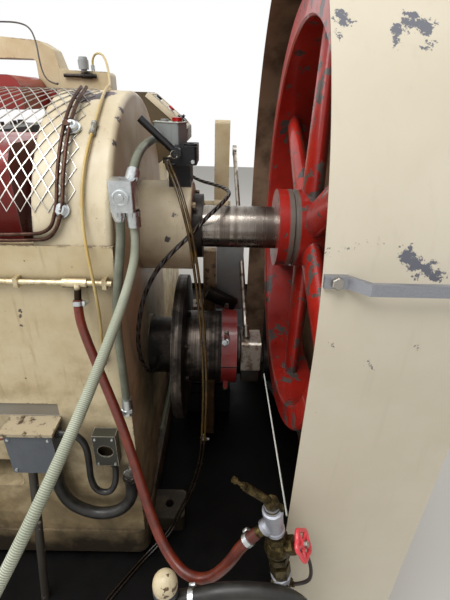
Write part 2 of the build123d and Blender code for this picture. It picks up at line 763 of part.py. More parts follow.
# Flat bar handle, bent out from the guard
with BuildPart() as guard_handle:
    near = -(guard_r**2 - (handle_z - handle_w / 2 - crank_z)**2)**0.5 - handle_t / 2
    far = near - handle_off
    with BuildSketch(xy(handle_z - handle_w / 2)):
        with BuildLine():
            Polyline((guard_left + 1, near), (guard_left + 34, near), (guard_left + 58, far),
                     (guard_right - 60, far), (guard_right - 30, near), (guard_right, near))
        trace(line_width=handle_t)
    extrude(amount=handle_w)
    for left, right in ((guard_left + 1, guard_left + 34), (guard_right - 30, guard_right)):
        add(block(left, near, handle_z - handle_w / 2, right, near + 12, handle_z + handle_w / 2))
    add(rod((guard_left, 0, crank_z), (guard_right + 1, 0, crank_z), guard_r), mode=Mode.SUBTRACT)
guard_handle.part.label = "guard_handle"
export_step(guard_handle.part, "parts/guard_handle.step")

# Motor on its base
with BuildPart() as drive_motor:
    add(rod((motor_left, motor_y, motor_z), (motor_right - 30, motor_y, motor_z), motor_r))
    add(rod((motor_right - 30, motor_y, motor_z), (motor_right, motor_y, motor_z), motor_r - 40))
    add(rod((motor_left - 40, motor_y, motor_z), (motor_left, motor_y, motor_z), motor_r - 8))
    with BuildSketch(yz(motor_left + 30)):
        with Locations((motor_y, motor_z)):
            with PolarLocations(motor_r + 2, 12):
                Rectangle(14, 5)
    extrude(amount=motor_right - motor_left - 90)
    add(block(motor_left + 50, motor_y - 105, pan_floor + 106, motor_right - 80, motor_y + 105, motor_z - 90))
    add(block(motor_left + 30, motor_y - 125, pan_floor, motor_right - 60, motor_y + 125, pan_floor + 106))
    add(block(motor_left + 100, motor_y - 60, motor_z + motor_r - 20, motor_right - 120, motor_y + 60,
              motor_z + motor_r + 50))
    add(rod((motor_right - 50, motor_y, motor_z), (motor_right + 1, motor_y, motor_z), motor_shaft_r + run),
        mode=Mode.SUBTRACT)
drive_motor.part.label = "drive_motor"
export_step(drive_motor.part, "parts/drive_motor.step")

# Motor pulley with its shaft
with BuildPart() as motor_pulley:
    add(rod((pulley_left, motor_y, motor_z), (pulley_left + 5, motor_y, motor_z), pulley_r))
    add(rod((pulley_left + 5, motor_y, motor_z), (pulley_right - 5, motor_y, motor_z), groove_r))
    add(rod((pulley_right - 5, motor_y, motor_z), (pulley_right, motor_y, motor_z), pulley_r))
    add(rod((motor_right - 48, motor_y, motor_z), (pulley_right + 10, motor_y, motor_z), motor_shaft_r))
motor_pulley.part.label = "motor_pulley"
export_step(motor_pulley.part, "parts/motor_pulley.step")


def belt_loop(grow):
    # The outline of the belt round the rim and the pulley, larger by grow.
    with BuildSketch(yz(pulley_left + 5.5)) as loop:
        with Locations((0, crank_z)):
            Circle(wheel_r + gap + grow)
        with Locations((motor_y, motor_z)):
            Circle(groove_r + gap + grow)
        make_hull()
    return loop.sketch


# Joined V-belts from the motor to the flywheel rim
with BuildPart() as drive_belts:
    extrude(belt_loop(belt_t), amount=pulley_right - pulley_left - 11)
    extrude(belt_loop(0), amount=pulley_right - pulley_left - 11, mode=Mode.SUBTRACT)
drive_belts.part.label = "drive_belts"
export_step(drive_belts.part, "parts/drive_belts.step")

# Expanded-metal guard, bent over the crank bay
with BuildPart() as mesh_guard:
    with BuildSketch(yz(-mesh_half)):
        with Locations((0, crank_z)):
            Circle(mesh_r + mesh_t)
            Circle(mesh_r, mode=Mode.SUBTRACT)
        with BuildLine():
            Polyline((0, crank_z),
                     (-2 * mesh_r * cos(radians(mesh_low)), crank_z + 2 * mesh_r * sin(radians(mesh_low))),
                     (-2 * mesh_r * cos(radians(mesh_high)), crank_z + 3 * mesh_r), close=True)
        make_face(mode=Mode.INTERSECT)
    extrude(amount=2 * mesh_half)
    step_angle = (mesh_high - mesh_low - 2) / mesh_rows
    step_x = (2 * mesh_half - 20) / mesh_columns
    for row in range(mesh_rows):
        angle = radians(mesh_low + 1 + step_angle * (row + 0.5))
        out = (0, -cos(angle), sin(angle))
        shift = step_x / 4 if row % 2 else -step_x / 4
        middle = (shift, mesh_r * out[1], crank_z + mesh_r * out[2])
        with BuildSketch(Plane(origin=middle, x_dir=(1, 0, 0), z_dir=out)):
            with GridLocations(step_x, 1, mesh_columns - 1, 1):
                Polygon((-step_x * 0.43, 0), (0, -29), (step_x * 0.43, 0), (0, 29))
        extrude(amount=30, both=True, mode=Mode.SUBTRACT)
mesh_guard.part.label = "mesh_guard"
export_step(mesh_guard.part, "parts/mesh_guard.step")

# Bridge: cast overarm across the bed
with BuildPart() as bridge:
    with BuildSketch(xz(bridge_rear)) as bridge_face:
        with BuildLine():
            Polyline((-bridge_base_x, bed_top), (bridge_base_x, bed_top), (bridge_base_x, bridge_base_z),
                     (bridge_neck + 18, bridge_base_z + 3), (bridge_neck, bridge_top - 34),
                     (131, bridge_top - 9), (0, bridge_top), (-131, bridge_top - 9),
                     (-bridge_neck, bridge_top - 34),
                     (-bridge_neck - 18, bridge_base_z + 3), (-bridge_base_x, bridge_base_z), close=True)
        make_face()
        with Locations((0, bed_top)):
            Rectangle(2 * bridge_open, bridge_under - bed_top, align=(Align.CENTER, Align.MIN),
                      mode=Mode.SUBTRACT)
        fillet(bridge_face.vertices().group_by(Axis.Y)[1:], radius=14)
    extrude(amount=-(bridge_front - bridge_rear))
bridge.part.label = "bridge"
export_step(bridge.part, "parts/bridge.step")

# Sheet hood behind the bridge
with BuildPart() as ram_hood:
    with BuildSketch(xz(hood_rear)) as hood_face:
        with Locations((0, hood_low)):
            Rectangle(2 * hood_x, hood_top - hood_low, align=(Align.CENTER, Align.MIN))
        fillet(hood_face.vertices().group_by(Axis.Y)[-1], radius=40)
    extrude(amount=-(bridge_rear - hood_rear))
    with BuildSketch(xz(hood_rear + hood_t)) as hood_hollow:
        with Locations((0, hood_low - 1)):
            Rectangle(2 * (hood_x - hood_t), hood_top - hood_low - hood_t + 1,
                      align=(Align.CENTER, Align.MIN))
        fillet(hood_hollow.vertices().group_by(Axis.Y)[-1], radius=36)
    extrude(amount=-(bridge_rear - hood_rear), mode=Mode.SUBTRACT)
    for side in (-1, 1):
        xs = sorted((side * (hood_x - 1), side * (hood_x + 34)))
        add(block(xs[0], bridge_rear - hood_t, hood_low, xs[1], bridge_rear, hood_low + 60))
ram_hood.part.label = "ram_hood"
export_step(ram_hood.part, "parts/ram_hood.step")

# Operator console: a sloping box on the bed's side
slope = Vector(console_low[0] - console_high[0], 0, console_low[1] - console_high[1]).normalized()
face_out = Vector(-slope.Z, 0, slope.X)
console_buttons = {"start_button": (0.2, 436), "stop_button": (0.5, 450), "selector": (0.78, 462)}


def on_console(share, y):
    # A point on the sloping face.
    return Vector(console_high[0] + share * (console_low[0] - console_high[0]), y,
                  console_high[1] + share * (console_low[1] - console_high[1]))


with BuildPart() as console:
    with BuildSketch(xz(console_rear)):
        with BuildLine():
            Polyline((ram_x, 1200), (480, 1200), (console_low[0], 1310), console_low, console_high,
                     (ram_x, console_high[1]), close=True)
        make_face()
    extrude(amount=-(console_front - console_rear))
    with BuildSketch(xz(console_rear)):
        with Locations((console_low[0] - 93, console_low[1] - 9)):
            Circle(9)
    extrude(amount=-30, mode=Mode.SUBTRACT)
    for share, y in console_buttons.values():
        top = on_console(share, y)
        add(rod(top + face_out, top - face_out * 40, button_stem_r + run), mode=Mode.SUBTRACT)
    add(rod((606, 440, 1262), (606, 440, 1300), 10))
console.part.label = "console"
export_step(console.part, "parts/console.step")

with BuildPart() as start_button:
    seat_point = on_console(*console_buttons["start_button"])
    add(rod(seat_point + face_out * (button_travel + gap), seat_point + face_out * 13, button_r))
    add(rod(seat_point - face_out * 30, seat_point + face_out * 6, button_stem_r))
start_button.part.label = "start_button"
export_step(start_button.part, "parts/start_button.step")

with BuildPart() as stop_button:
    seat_point = on_console(*console_buttons["stop_button"])
    add(rod(seat_point + face_out * (button_travel + gap), seat_point + face_out * 13, button_r))
    add(rod(seat_point - face_out * 30, seat_point + face_out * 6, button_stem_r))
stop_button.part.label = "stop_button"
export_step(stop_button.part, "parts/stop_button.step")

with BuildPart() as selector:
    seat_point = on_console(*console_buttons["selector"])
    with BuildSketch(Plane(origin=seat_point + face_out * gap, x_dir=(0, 1, 0), z_dir=face_out)):
        RectangleRounded(34, 34, 4)
    extrude(amount=8)
    with BuildSketch(Plane(origin=seat_point + face_out * (8 + gap), x_dir=(0, 1, 0), z_dir=face_out)):
        RectangleRounded(26, 9, 4)
    extrude(amount=12)
    add(rod(seat_point - face_out * 30, seat_point + face_out * 2, button_stem_r))
selector.part.label = "selector"
export_step(selector.part, "parts/selector.step")

# Black control box on the boss, with its ring, standing on a saddle
with BuildPart() as lever_box:
    add(block(*control_box))
    fillet(lever_box.edges().filter_by(Axis.Z), radius=8)
    add(block(610, -45, crank_z + 100, 672, 45, control_box[2]))
    add(block(598, -60, 1292, 650, -50, 1308))
    add(rod((672, -30, control_box[5]), (672, -30, control_box[5] + 5), 18, 11))
    hub_x, hub_y, hub_z = lever_hub
    add(rod((hub_x, control_box[1], hub_z), (hub_x, hub_y + lever_r + gap + 2, hub_z), 8))
    add(rod((hub_x, control_box[1], hub_z), (hub_x, hub_y - 12, hub_z), 5))
    add(rod((500, 0, crank_z), (700, 0, crank_z), boss_r), mode=Mode.SUBTRACT)
lever_box.part.label = "lever_box"
export_step(lever_box.part, "parts/lever_box.step")

# Hand lever on the box's side
with BuildPart() as hand_lever:
    add(rod(lever_hub, lever_tip, lever_r))
    add(rod((hub_x, hub_y - lever_r, hub_z), (hub_x, hub_y + lever_r, hub_z), 14))
    add(rod((hub_x, hub_y - lever_r - 1, hub_z), (hub_x, hub_y + lever_r + 1, hub_z), 5 + run),
        mode=Mode.SUBTRACT)
hand_lever.part.label = "hand_lever"
export_step(hand_lever.part, "parts/hand_lever.step")

# Push-button box beside it, turned towards the operator
push_way = (cos(radians(push_box_turn)), sin(radians(push_box_turn)), 0)
push_plane = Plane(origin=push_box_at, x_dir=push_way, z_dir=(0, 0, 1))
red_at = push_plane.from_local_coords((24, 0, push_box[2]))
with BuildPart() as push_button_box:
    with BuildSketch(push_plane):
        RectangleRounded(push_box[0], push_box[1], 4)
    extrude(amount=push_box[2])
    add(block(596, -20, push_box_at[2] - 8, control_box[0], 30, push_box_at[2]))
    add(rod(red_at + Vector(0, 0, 1), red_at - Vector(0, 0, 35), button_stem_r + run), mode=Mode.SUBTRACT)
    collar_low = push_plane.from_local_coords((-20, 0, push_box[2]))
    add(rod(collar_low, collar_low + Vector(0, 0, 8), 11))
    add(rod((578, -34, 1354), (581, 24, 1355), 13))
push_button_box.part.label = "push_button_box"
export_step(push_button_box.part, "parts/push_button_box.step")

with BuildPart() as red_button:
    add(rod(red_at + Vector(0, 0, button_travel + gap), red_at + Vector(0, 0, 14), 14))
    add(rod(red_at - Vector(0, 0, 30), red_at + Vector(0, 0, 6), button_stem_r))
red_button.part.label = "red_button"
export_step(red_button.part, "parts/red_button.step")

def on_mesh(x, angle, radius):
    # A point over the mesh or an arch cover, by its angle above the rear horizon.
    return (x, -radius * cos(radians(angle)), crank_z + radius * sin(radians(angle)))


def copper_route(shift):
    over = [on_mesh(424 + shift, a, 383) for a in (76, 65, 54, 43, 32, 22)]
    down = [(410 + shift, -366, 1200), (385 + shift, -366, 1172 - shift)]
    along = [(x + shift, y, z - shift) for x, y, z in
             ((290, -367, 1167), (180, -365, 1171), (70, -367, 1166), (-40, -365, 1170), (-150, -367, 1167),
              (-250, -366, 1171), (-330, -366, 1168))]
    return over + down + along


# Rigid oil piping: lubrication pipe on the rear wall with its tee and barb, and two copper pipes
pipe_y = -crank_y - 11.5
barb_end = (440, pipe_y - 18, 1040)
with BuildPart() as oil_pipes:
    add(rod((-520, pipe_y, 1074), (516, pipe_y, 1074), 6.5))
    add(rod((405, pipe_y, 1074), (460, pipe_y, 1074), 11))
    add(rod((440, pipe_y - 6, 1074), barb_end, 8))
    for x in (-480, -200, 60, 300, 500):
        add(block(x - 5, -crank_y - 20, 1062, x + 5, -crank_y, 1086))
    add(routed("copper pipe 1", copper_route(0), 4))
    add(routed("copper pipe 2", copper_route(-13), 4))
    add(rod(on_mesh(417, 51, mesh_r + mesh_t + 4), on_mesh(417, 51, 387), 9))
oil_pipes.part.label = "oil_pipes"
export_step(oil_pipes.part, "parts/oil_pipes.step")

# Conduit outlet body with a plug, conduit nuts, and clamps
conduit_nut = (568, -300, 1308)
with BuildPart() as conduit_fittings:
    add(block(*outlet))
    fillet(conduit_fittings.edges().filter_by(Axis.Z), radius=8)
    add(rod((554, outlet[1] - 5, 1268), (554, outlet[1], 1268), 17))
    add(rod((568, -330, 1290), conduit_nut, 15))
    add(rod((541, -348, 1222), (541, -348, 1236), 15))
    add(rod((572, -348, 1200), (572, -348, 1236), 15))
    add(rod((520, -388, 690), (520, -388, 744), 14))
    add(rod((520, -388, 704), (520, -crank_y, 704), 10))
    add(rod((20, -396, 262), (20, -crank_y, 262), 16))
    add(rod((505, -390, 432), (505, -390, 452), 20))
    add(rod((505, -390, 452), (505, -crank_y, 452), 20))
    add(rod((300, 400, bridge_base_z + 1.3), (300, 400, bridge_base_z + 20), 7))
    add(rod((472, -376, 846), (472, -376, 866), 7.5))
    add(rod((472, -376, 854), (472, -crank_y, 854), 5))
    for x, angle in ((412, 51), (403, 21)):
        add(rod(on_mesh(x + 14, angle, mesh_r + mesh_t), on_mesh(x + 14, angle, mesh_r + mesh_t + 4), 18))
conduit_fittings.part.label = "conduit_fittings"
export_step(conduit_fittings.part, "parts/conduit_fittings.step")

# Junction box with its lid and the pipe under it, and the bracket box beside it
with BuildPart() as junction_box:
    add(block(190, -430, 500, 320, -crank_y, 645))
    fillet(junction_box.edges().filter_by(Axis.Y), radius=6)
    add(block(184, -436, 645, 326, -crank_y, 655))
    add(rod((227.4, -396, 518), (216.8, -508, -6), 12.5))
    add(block(190, -530, -20, 250, -480, pan_floor), mode=Mode.SUBTRACT)
junction_box.part.label = "junction_box"
export_step(junction_box.part, "parts/junction_box.step")

with BuildPart() as bracket_box:
    add(block(413, -400, 498, 479, -crank_y, 614))
    add(block(416, -397, 501, 476, -crank_y, 611), mode=Mode.SUBTRACT)
    add(rod((446, -401, 556), (446, -396, 556), 22), mode=Mode.SUBTRACT)
    add(rod((463, -386, 497), (463, -386, 502), 6), mode=Mode.SUBTRACT)
bracket_box.part.label = "bracket_box"
export_step(bracket_box.part, "parts/bracket_box.step")

# Coolant valve: riser, union, body with bonnet, coupling with barb, petcock
valve_foot = Vector(902, -(guard_r + 44), 588)
valve_up = Vector(-0.162, 0, 0.987).normalized()


def up_valve(reach):
    return valve_foot + valve_up * reach


wheel_way = Vector(0.79, -0.27, 0.557).normalized()
stem_root = up_valve(150)
wheel_at = stem_root + wheel_way * 52
drain_y = -(guard_r + 96)
valve_barb = up_valve(222) + Vector(-26, -2, -30)
valve_nipple = stem_root + Vector(26, 4, -12)
union_nipple = up_valve(18) + Vector(20, -6, 16)
with BuildPart() as valve_manifold:
    add(rod((valve_foot.X, valve_foot.Y, pan_floor), (valve_foot.X, valve_foot.Y, valve_foot.Z + 6), 13))
    add(hexagon(up_valve(0), up_valve(36), 38))
    add(rod(up_valve(36), up_valve(66), 17))
    add(hexagon(up_valve(66), up_valve(96), 34))
    add(rod(up_valve(90), up_valve(195), 11))
    with Locations(stem_root):
        Sphere(24)
    add(hexagon(up_valve(112), up_valve(128), 36))
    add(hexagon(up_valve(172), up_valve(188), 36))
    add(rod(stem_root, stem_root + wheel_way * 34, 13))
    add(hexagon(stem_root + wheel_way * 24, stem_root + wheel_way * 36, 28))
    add(rod(up_valve(195), up_valve(262), 14))
    add(rod(up_valve(222), valve_barb, 10))
    add(rod(stem_root, valve_nipple, 5))
    add(rod(up_valve(18), union_nipple, 5))
    add(rod(up_valve(262), up_valve(276), 8))
    add(rod(up_valve(270) + Vector(18, 0, -14), up_valve(270) + Vector(-46, 0, 40), 7))
    add(rod(wheel_at - wheel_way * 20, wheel_at + wheel_way * 9, 4))
    add(rod(stem_root, wheel_at, 4))
    # standpipes of the drain hose
    add(rod((680, drain_y, pan_floor), (680, drain_y, 648), 14))
    add(rod((680, drain_y, 640), (680, drain_y, 690), 19))
    add(rod((680, drain_y, 655), (704, drain_y, 661), 13))
    add(rod((952, drain_y, pan_floor), (952, drain_y, 500), 16))
valve_manifold.part.label = "valve_manifold"
export_step(valve_manifold.part, "parts/valve_manifold.step")

with BuildPart() as valve_wheel:
    with BuildSketch(Plane(origin=wheel_at, z_dir=wheel_way)):
        Circle(32)
        Circle(22, mode=Mode.SUBTRACT)
        Circle(10)
        with PolarLocations(17, 5):
            Rectangle(20, 7)
        Circle(4 + run, mode=Mode.SUBTRACT)
    extrude(amount=8)
valve_wheel.part.label = "valve_wheel"
export_step(valve_wheel.part, "parts/valve_wheel.step")

# Cords and hoses: their routes are chosen by hand
conduit_top_route = [conduit_nut, (568, -266, 1328.4), (570, -216, 1343), (572, -155, 1350),
                     (575, -92, 1353), (578, -34, 1354)]
conduit_down_route = [(541, -348, 1222), (541, -348, 1192), (540, -363, 1156), (536, -384, 1104),
                      (525, -390, 1030), (519, -390, 940), (520, -389, 850), (520, -388, 786),
                      (520, -388, 744)]
conduit_rear_route = [(572, -348, 1200), (572, -348, 1166), (570, -372, 1122), (562, -454, 1074),
                      (548, -554, 1026), (528, -655, 970), (500, -740, 908), (460, -825, 830),
                      (405, -880, 730), (350, -880, 620), (285, -815, 520), (215, -715, 440),
                      (135, -600, 350), (65, -505, 280), (20, -442, 262), (20, -396, 262)]
coolant_hose_route = [barb_end, (440, barb_end[1] - 12 * 0.9, 1040 - 34 * 0.9), (456, -430, 968),
                      (482, -460, 920), (516, -500, 862), (550, -543, 812), (586, -598, 752),
                      (628, -668, 680), (664, -716, 640), (705, -752, 620), (752, valve_foot.Y - 8, 634),
                      (790, valve_foot.Y - 9, 690), valve_barb - Vector(26, 2, 30), valve_barb]
yellow_route = [(300, 400, bridge_base_z + 20), (300, 400, 1564), (318, 390, 1582), (346, 364, 1578),
                (368, 318, 1558), (386, 268, 1536), (402, 212, 1514), (418, 152, 1495), (434, 90, 1483),
                (448, 30, 1478), on_mesh(460, 85, 376), on_mesh(468, 76, 376), on_mesh(474, 66, 377),
                on_mesh(476, 55, 377), on_mesh(470, 44, 377), on_mesh(463, 33, 377),
                on_mesh(462, 22, 377), (468, -376, 1180), (476, -390, 1130), (482, -398, 1080),
                (483, -394, 1025), (479, -382, 965), (472, -376, 912), (472, -376, 866)]
amber_route = [(606, -60, 1300), (606, -76, 1300), (619, -110, 1285), (642, -154, 1250),
               (661, -194, 1206), (678, -214, 1145), (690, -222, 1065), (700, -226, 975),
               (708, -228, 880), (713, -229, 780), (716, -231, 680), (715, -235, 580), (711, -240, 450),
               (704, -250, 350), (672, -270, 227), (624, -290, 117), (592, -312, 48), (524, -360, 8),
               (465, -440, 8), (414, -514, 8)]
lever_cable_route = [(606, 440, 1262), (606, 440, 1236), (615, 414, 1206), (641, 360, 1186),
                     (686, 286, 1182), (734, 202, 1188), (770, 116, 1194), (786, 32, 1197),
                     (774, -45, 1196), (750, -95, 1182), (716, -138, 1160), (676, -190, 1126),
                     (630, -238, 1094), (590, -272, 1050), (562, -292, 985), (546, -300, 905),
                     (540, -290, 825), (542, -258, 750), (548, -212, 695), (555, -165, 662),
                     (556, -130, 656), (556, -flange_r - 0.2, 656)]
bracket_hose_route = [(320, -402, 628), (340, -402, 628), (372, -403, 624), (396, -404, 590),
                      (396, -403, 520), (391, -405, 450), (402, -407, 396), (440, -406, 386),
                      (461, -400, 420), (463, -386.5, 468), (463, -386.5, 498)]
sump_hose_route = [(293, -400, 500), (293, -400, 465), (290, -402, 400), (312, -404, 330),
                   (385, -406, 284), (460, -404, 296), (502, -396, 345), (505, -390, 402),
                   (505, -390, 432)]
top_wire_route = [(-74, 420, 1617.3), (-74, 420, 1640), (-46, 408, 1664), (14, 394, 1664),
                  (72, 382, 1662), (118, 364, 1648), (140, 342, 1606), (150, 318, 1552),
                  (172, 276, 1512), (208, 216, 1492), (246, 156, 1484), (280, 98, 1480), (306, 40, 1482),
                  (322, -10, 1478)]
drain_hose_route = [(704, drain_y, 661), (732, drain_y, 668), (778, drain_y, 688), (840, drain_y, 692),
                    (900, drain_y, 674), (938, drain_y, 624), (952, drain_y, 562), (952, drain_y, 500)]
valve_hose_route = [valve_nipple, valve_nipple + Vector(26, 4, -12) * 0.85,
                    valve_foot + Vector(40, 4, 102), valve_foot + Vector(47, -6, 74),
                    union_nipple + Vector(24, -7.2, 19.2), union_nipple]

with BuildPart() as conduit_top:
    add(routed("conduit_top", conduit_top_route, 10.5))
conduit_top.part.label = "conduit_top"
export_step(conduit_top.part, "parts/conduit_top.step")

with BuildPart() as conduit_down:
    add(routed("conduit_down", conduit_down_route, 10.5))
conduit_down.part.label = "conduit_down"
export_step(conduit_down.part, "parts/conduit_down.step")

with BuildPart() as conduit_rear:
    add(routed("conduit_rear", conduit_rear_route, 10.5))
conduit_rear.part.label = "conduit_rear"
export_step(conduit_rear.part, "parts/conduit_rear.step")

with BuildPart() as coolant_hose:
    add(routed("coolant_hose", coolant_hose_route, 10.5))
coolant_hose.part.label = "coolant_hose"
export_step(coolant_hose.part, "parts/coolant_hose.step")

with BuildPart() as yellow_oil_tube:
    add(routed("yellow_oil_tube", yellow_route, 3.5))
yellow_oil_tube.part.label = "yellow_oil_tube"
export_step(yellow_oil_tube.part, "parts/yellow_oil_tube.step")

with BuildPart() as amber_oil_tubes:
    add(routed("amber tube 1", amber_route, 4))
    add(routed("amber tube 2", [(x + 10, y - 0.3 * i, z) for i, (x, y, z) in enumerate(amber_route)], 4))
amber_oil_tubes.part.label = "amber_oil_tubes"
export_step(amber_oil_tubes.part, "parts/amber_oil_tubes.step")

with BuildPart() as lever_cable:
    add(routed("lever_cable", lever_cable_route, 6))
lever_cable.part.label = "lever_cable"
export_step(lever_cable.part, "parts/lever_cable.step")

with BuildPart() as bracket_hose:
    add(routed("bracket_hose", bracket_hose_route, 9.5))
bracket_hose.part.label = "bracket_hose"
export_step(bracket_hose.part, "parts/bracket_hose.step")

with BuildPart() as sump_hose:
    add(routed("sump_hose", sump_hose_route, 18))
sump_hose.part.label = "sump_hose"
export_step(sump_hose.part, "parts/sump_hose.step")

with BuildPart() as top_wire:
    add(routed("top_wire", top_wire_route, 2.5))
top_wire.part.label = "top_wire"
export_step(top_wire.part, "parts/top_wire.step")

with BuildPart() as drain_hose:
    add(routed("drain_hose", drain_hose_route, 15))
drain_hose.part.label = "drain_hose"
export_step(drain_hose.part, "parts/drain_hose.step")

with BuildPart() as valve_hose:
    add(routed("valve_hose", valve_hose_route, 3.5))
valve_hose.part.label = "valve_hose"
export_step(valve_hose.part, "parts/valve_hose.step")
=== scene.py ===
import math

import bpy
from mathutils import Matrix, Vector


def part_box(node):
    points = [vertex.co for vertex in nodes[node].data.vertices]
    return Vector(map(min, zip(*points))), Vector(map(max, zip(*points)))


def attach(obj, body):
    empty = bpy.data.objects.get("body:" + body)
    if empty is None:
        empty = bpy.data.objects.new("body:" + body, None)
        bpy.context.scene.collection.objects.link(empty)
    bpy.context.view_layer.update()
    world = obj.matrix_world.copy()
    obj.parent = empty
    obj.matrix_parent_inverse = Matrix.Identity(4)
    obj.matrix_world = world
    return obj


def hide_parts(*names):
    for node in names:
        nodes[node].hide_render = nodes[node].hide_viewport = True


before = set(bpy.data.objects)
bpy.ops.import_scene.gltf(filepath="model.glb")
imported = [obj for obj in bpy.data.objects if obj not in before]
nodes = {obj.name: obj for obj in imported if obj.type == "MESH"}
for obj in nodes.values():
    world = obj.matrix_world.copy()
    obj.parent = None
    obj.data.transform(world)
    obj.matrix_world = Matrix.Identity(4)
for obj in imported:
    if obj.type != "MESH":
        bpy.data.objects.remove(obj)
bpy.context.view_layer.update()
bpy.ops.object.select_all(action="DESELECT")
bpy.context.tool_settings.mesh_select_mode = (False, False, True)
print("frame loaded:", len(nodes), "nodes")

# the camera stands where the photograph was taken, with its lens
photo = {"place": (0.7671, -1.1831, 1.4565), "yaw": 0.009722, "pitchDown": 0.479026, "roll": 0.0258846,
         "focalPixels": 389.61, "longSidePixels": 600}
ahead = Vector((math.sin(photo["yaw"]) * math.cos(photo["pitchDown"]),
                math.cos(photo["yaw"]) * math.cos(photo["pitchDown"]), -math.sin(photo["pitchDown"])))
level = Vector((math.cos(photo["yaw"]), -math.sin(photo["yaw"]), 0))
upright = level.cross(ahead)
side = math.cos(photo["roll"]) * level + math.sin(photo["roll"]) * upright
top = -math.sin(photo["roll"]) * level + math.cos(photo["roll"]) * upright
camera = bpy.data.cameras.new("photoCamera")
camera.sensor_width = 36
camera.lens = photo["focalPixels"] / photo["longSidePixels"] * camera.sensor_width
camera.clip_start = 0.02
holder = bpy.data.objects.new("photoCamera", camera)
bpy.context.collection.objects.link(holder)
holder.matrix_world = Matrix.Translation(photo["place"]) @ Matrix((side, top, -ahead)).transposed().to_4x4()
bpy.context.scene.camera = holder
bpy.context.scene.view_settings.view_transform = "Standard"
print("camera set")


def hexColour(code):
    # sRGB hex to the linear colour that shaders expect
    parts = [int(code[i:i + 2], 16) / 255 for i in (1, 3, 5)]
    return [p / 12.92 if p <= 0.04045 else ((p + 0.055) / 1.055) ** 2.4 for p in parts] + [1]


def addNode(tree, kind, inputs=None, **settings):
    # one node with its settings; a node or socket among the inputs is linked
    node = tree.nodes.new(kind)
    for key, value in settings.items():
        setattr(node, key, value)
    for key, value in (inputs or {}).items():
        if isinstance(value, bpy.types.Node):
            value = value.outputs[0]
        if isinstance(value, bpy.types.NodeSocket):
            tree.links.new(value, node.inputs[key])
        else:
            node.inputs[key].default_value = value
    return node


def newFinish(name, metallic=0.0, ior=1.5, coat=0.0):
    # a material with its shader; the patterns are linked to it afterwards
    finish = bpy.data.materials.new(name)
    finish.use_nodes = True
    tree = finish.node_tree
    tree.nodes.clear()
    shader = addNode(tree, "ShaderNodeBsdfPrincipled", {"Metallic": metallic, "IOR": ior,
                                                         "Coat Weight": coat})
    addNode(tree, "ShaderNodeOutputMaterial", {"Surface": shader})
    return finish, tree, shader


def patches(tree, place, sizeMm, low, high, detail=5.0):
    # a mask of patches of that size; limits further apart make them softer
    noise = addNode(tree, "ShaderNodeTexNoise", {"Vector": place, "Scale": 1000 / sizeMm, "Detail": detail,
                                                 "Roughness": 0.62})
    return addNode(tree, "ShaderNodeMapRange", {"Value": noise, "From Min": low, "From Max": high},
                   interpolation_type="SMOOTHSTEP")


def layered(tree, base, layers):
    # colours laid over a base, each as far as its mask says
    for mask, colour in layers:
        base = addNode(tree, "ShaderNodeMix", {0: mask, 6: base, 7: colour}, data_type="RGBA").outputs[2]
    return base


def combined(tree, operation, *values):
    # the values put together, one after the other
    total = values[0]
    for value in values[1:]:
        total = addNode(tree, "ShaderNodeMath", {0: total, 1: value}, operation=operation)
    return total


def insideBox(tree, place, low, high, soft=0.0008):
    # 1 between two corners, with ragged edges a little wide
    middle = [(a + b) / 2 for a, b in zip(low, high)]
    away = addNode(tree, "ShaderNodeVectorMath", {0: place, 1: middle}, operation="SUBTRACT")
    away = addNode(tree, "ShaderNodeVectorMath", {0: away}, operation="ABSOLUTE")
    away = addNode(tree, "ShaderNodeSeparateXYZ", {0: away})
    sides = [addNode(tree, "ShaderNodeMapRange", {"Value": away.outputs[i], "From Min": (b - a) / 2 + soft,
                                                  "From Max": (b - a) / 2 - soft})
             for i, (a, b) in enumerate(zip(low, high))]
    return combined(tree, "MULTIPLY", *sides)


def nearPlaces(tree, place, places, wobbleMm):
    # ragged spots round the given points; a spot is its point and its radius
    wobble = addNode(tree, "ShaderNodeTexNoise", {"Vector": place, "Scale": 1000 / 12, "Detail": 6.0,
                                                  "Roughness": 0.7})
    shift = addNode(tree, "ShaderNodeVectorMath", {0: wobble.outputs[1], 1: (0.5, 0.5, 0.5)},
                    operation="SUBTRACT")
    shift = addNode(tree, "ShaderNodeVectorMath", {0: shift, "Scale": wobbleMm / 1000}, operation="SCALE")
    moved = addNode(tree, "ShaderNodeVectorMath", {0: place, 1: shift}, operation="ADD")
    spots = []
    for x, y, z, radius in places:
        far = addNode(tree, "ShaderNodeVectorMath", {0: moved, 1: (x, y, z)}, operation="DISTANCE").outputs[1]
        spots.append(addNode(tree, "ShaderNodeMapRange", {"Value": far, "From Min": radius,
                                                          "From Max": radius * 0.85}))
    return combined(tree, "MAXIMUM", *spots)


def nothingMore(*_):
    # for a finish that has no places of its own
    return []


# what an enamel, a metal and a sheath have wherever their look gives nothing else
usualEnamel = {"ior": 1.5, "coat": 0.0, "stainMm": 80, "runMm": 20, "runShare": 0.2, "mottleMm": 260,
               "fleckMm": 9, "fleckFrom": 0.66, "fleckShare": 0.35, "darkerTowards": (), "paintedRecessShade": (),
               "chipMm": 26, "chipFrom": 0.74, "edgeWear": 0.0, "edgeMm": 5, "wornPlaces": (), "wobbleMm": 20,
               "roughnessSpread": 0.16, "peelMm": 5, "peel": 0.3, "extra": nothingMore}
usualMetal = {"metallic": 1.0, "grain": (1, 1, 1), "grainMm": 3, "bandMm": 30, "bandShare": 0.0, "filmMm": 55,
              "filmFrom": 0.45, "filmMost": 0.8, "roughnessSpread": 0.1, "bump": 0.25, "bumpMm": 0.4,
              "extra": nothingMore}
usualSheath = {"ior": 1.48, "clear": 0.0, "dustMm": 40, "ribMm": 0, "cores": 0, "grooveAt": 0.0,
               "roughnessSpread": 0.15, "bump": 0.35, "reliefMm": 0.5, "extra": nothingMore}


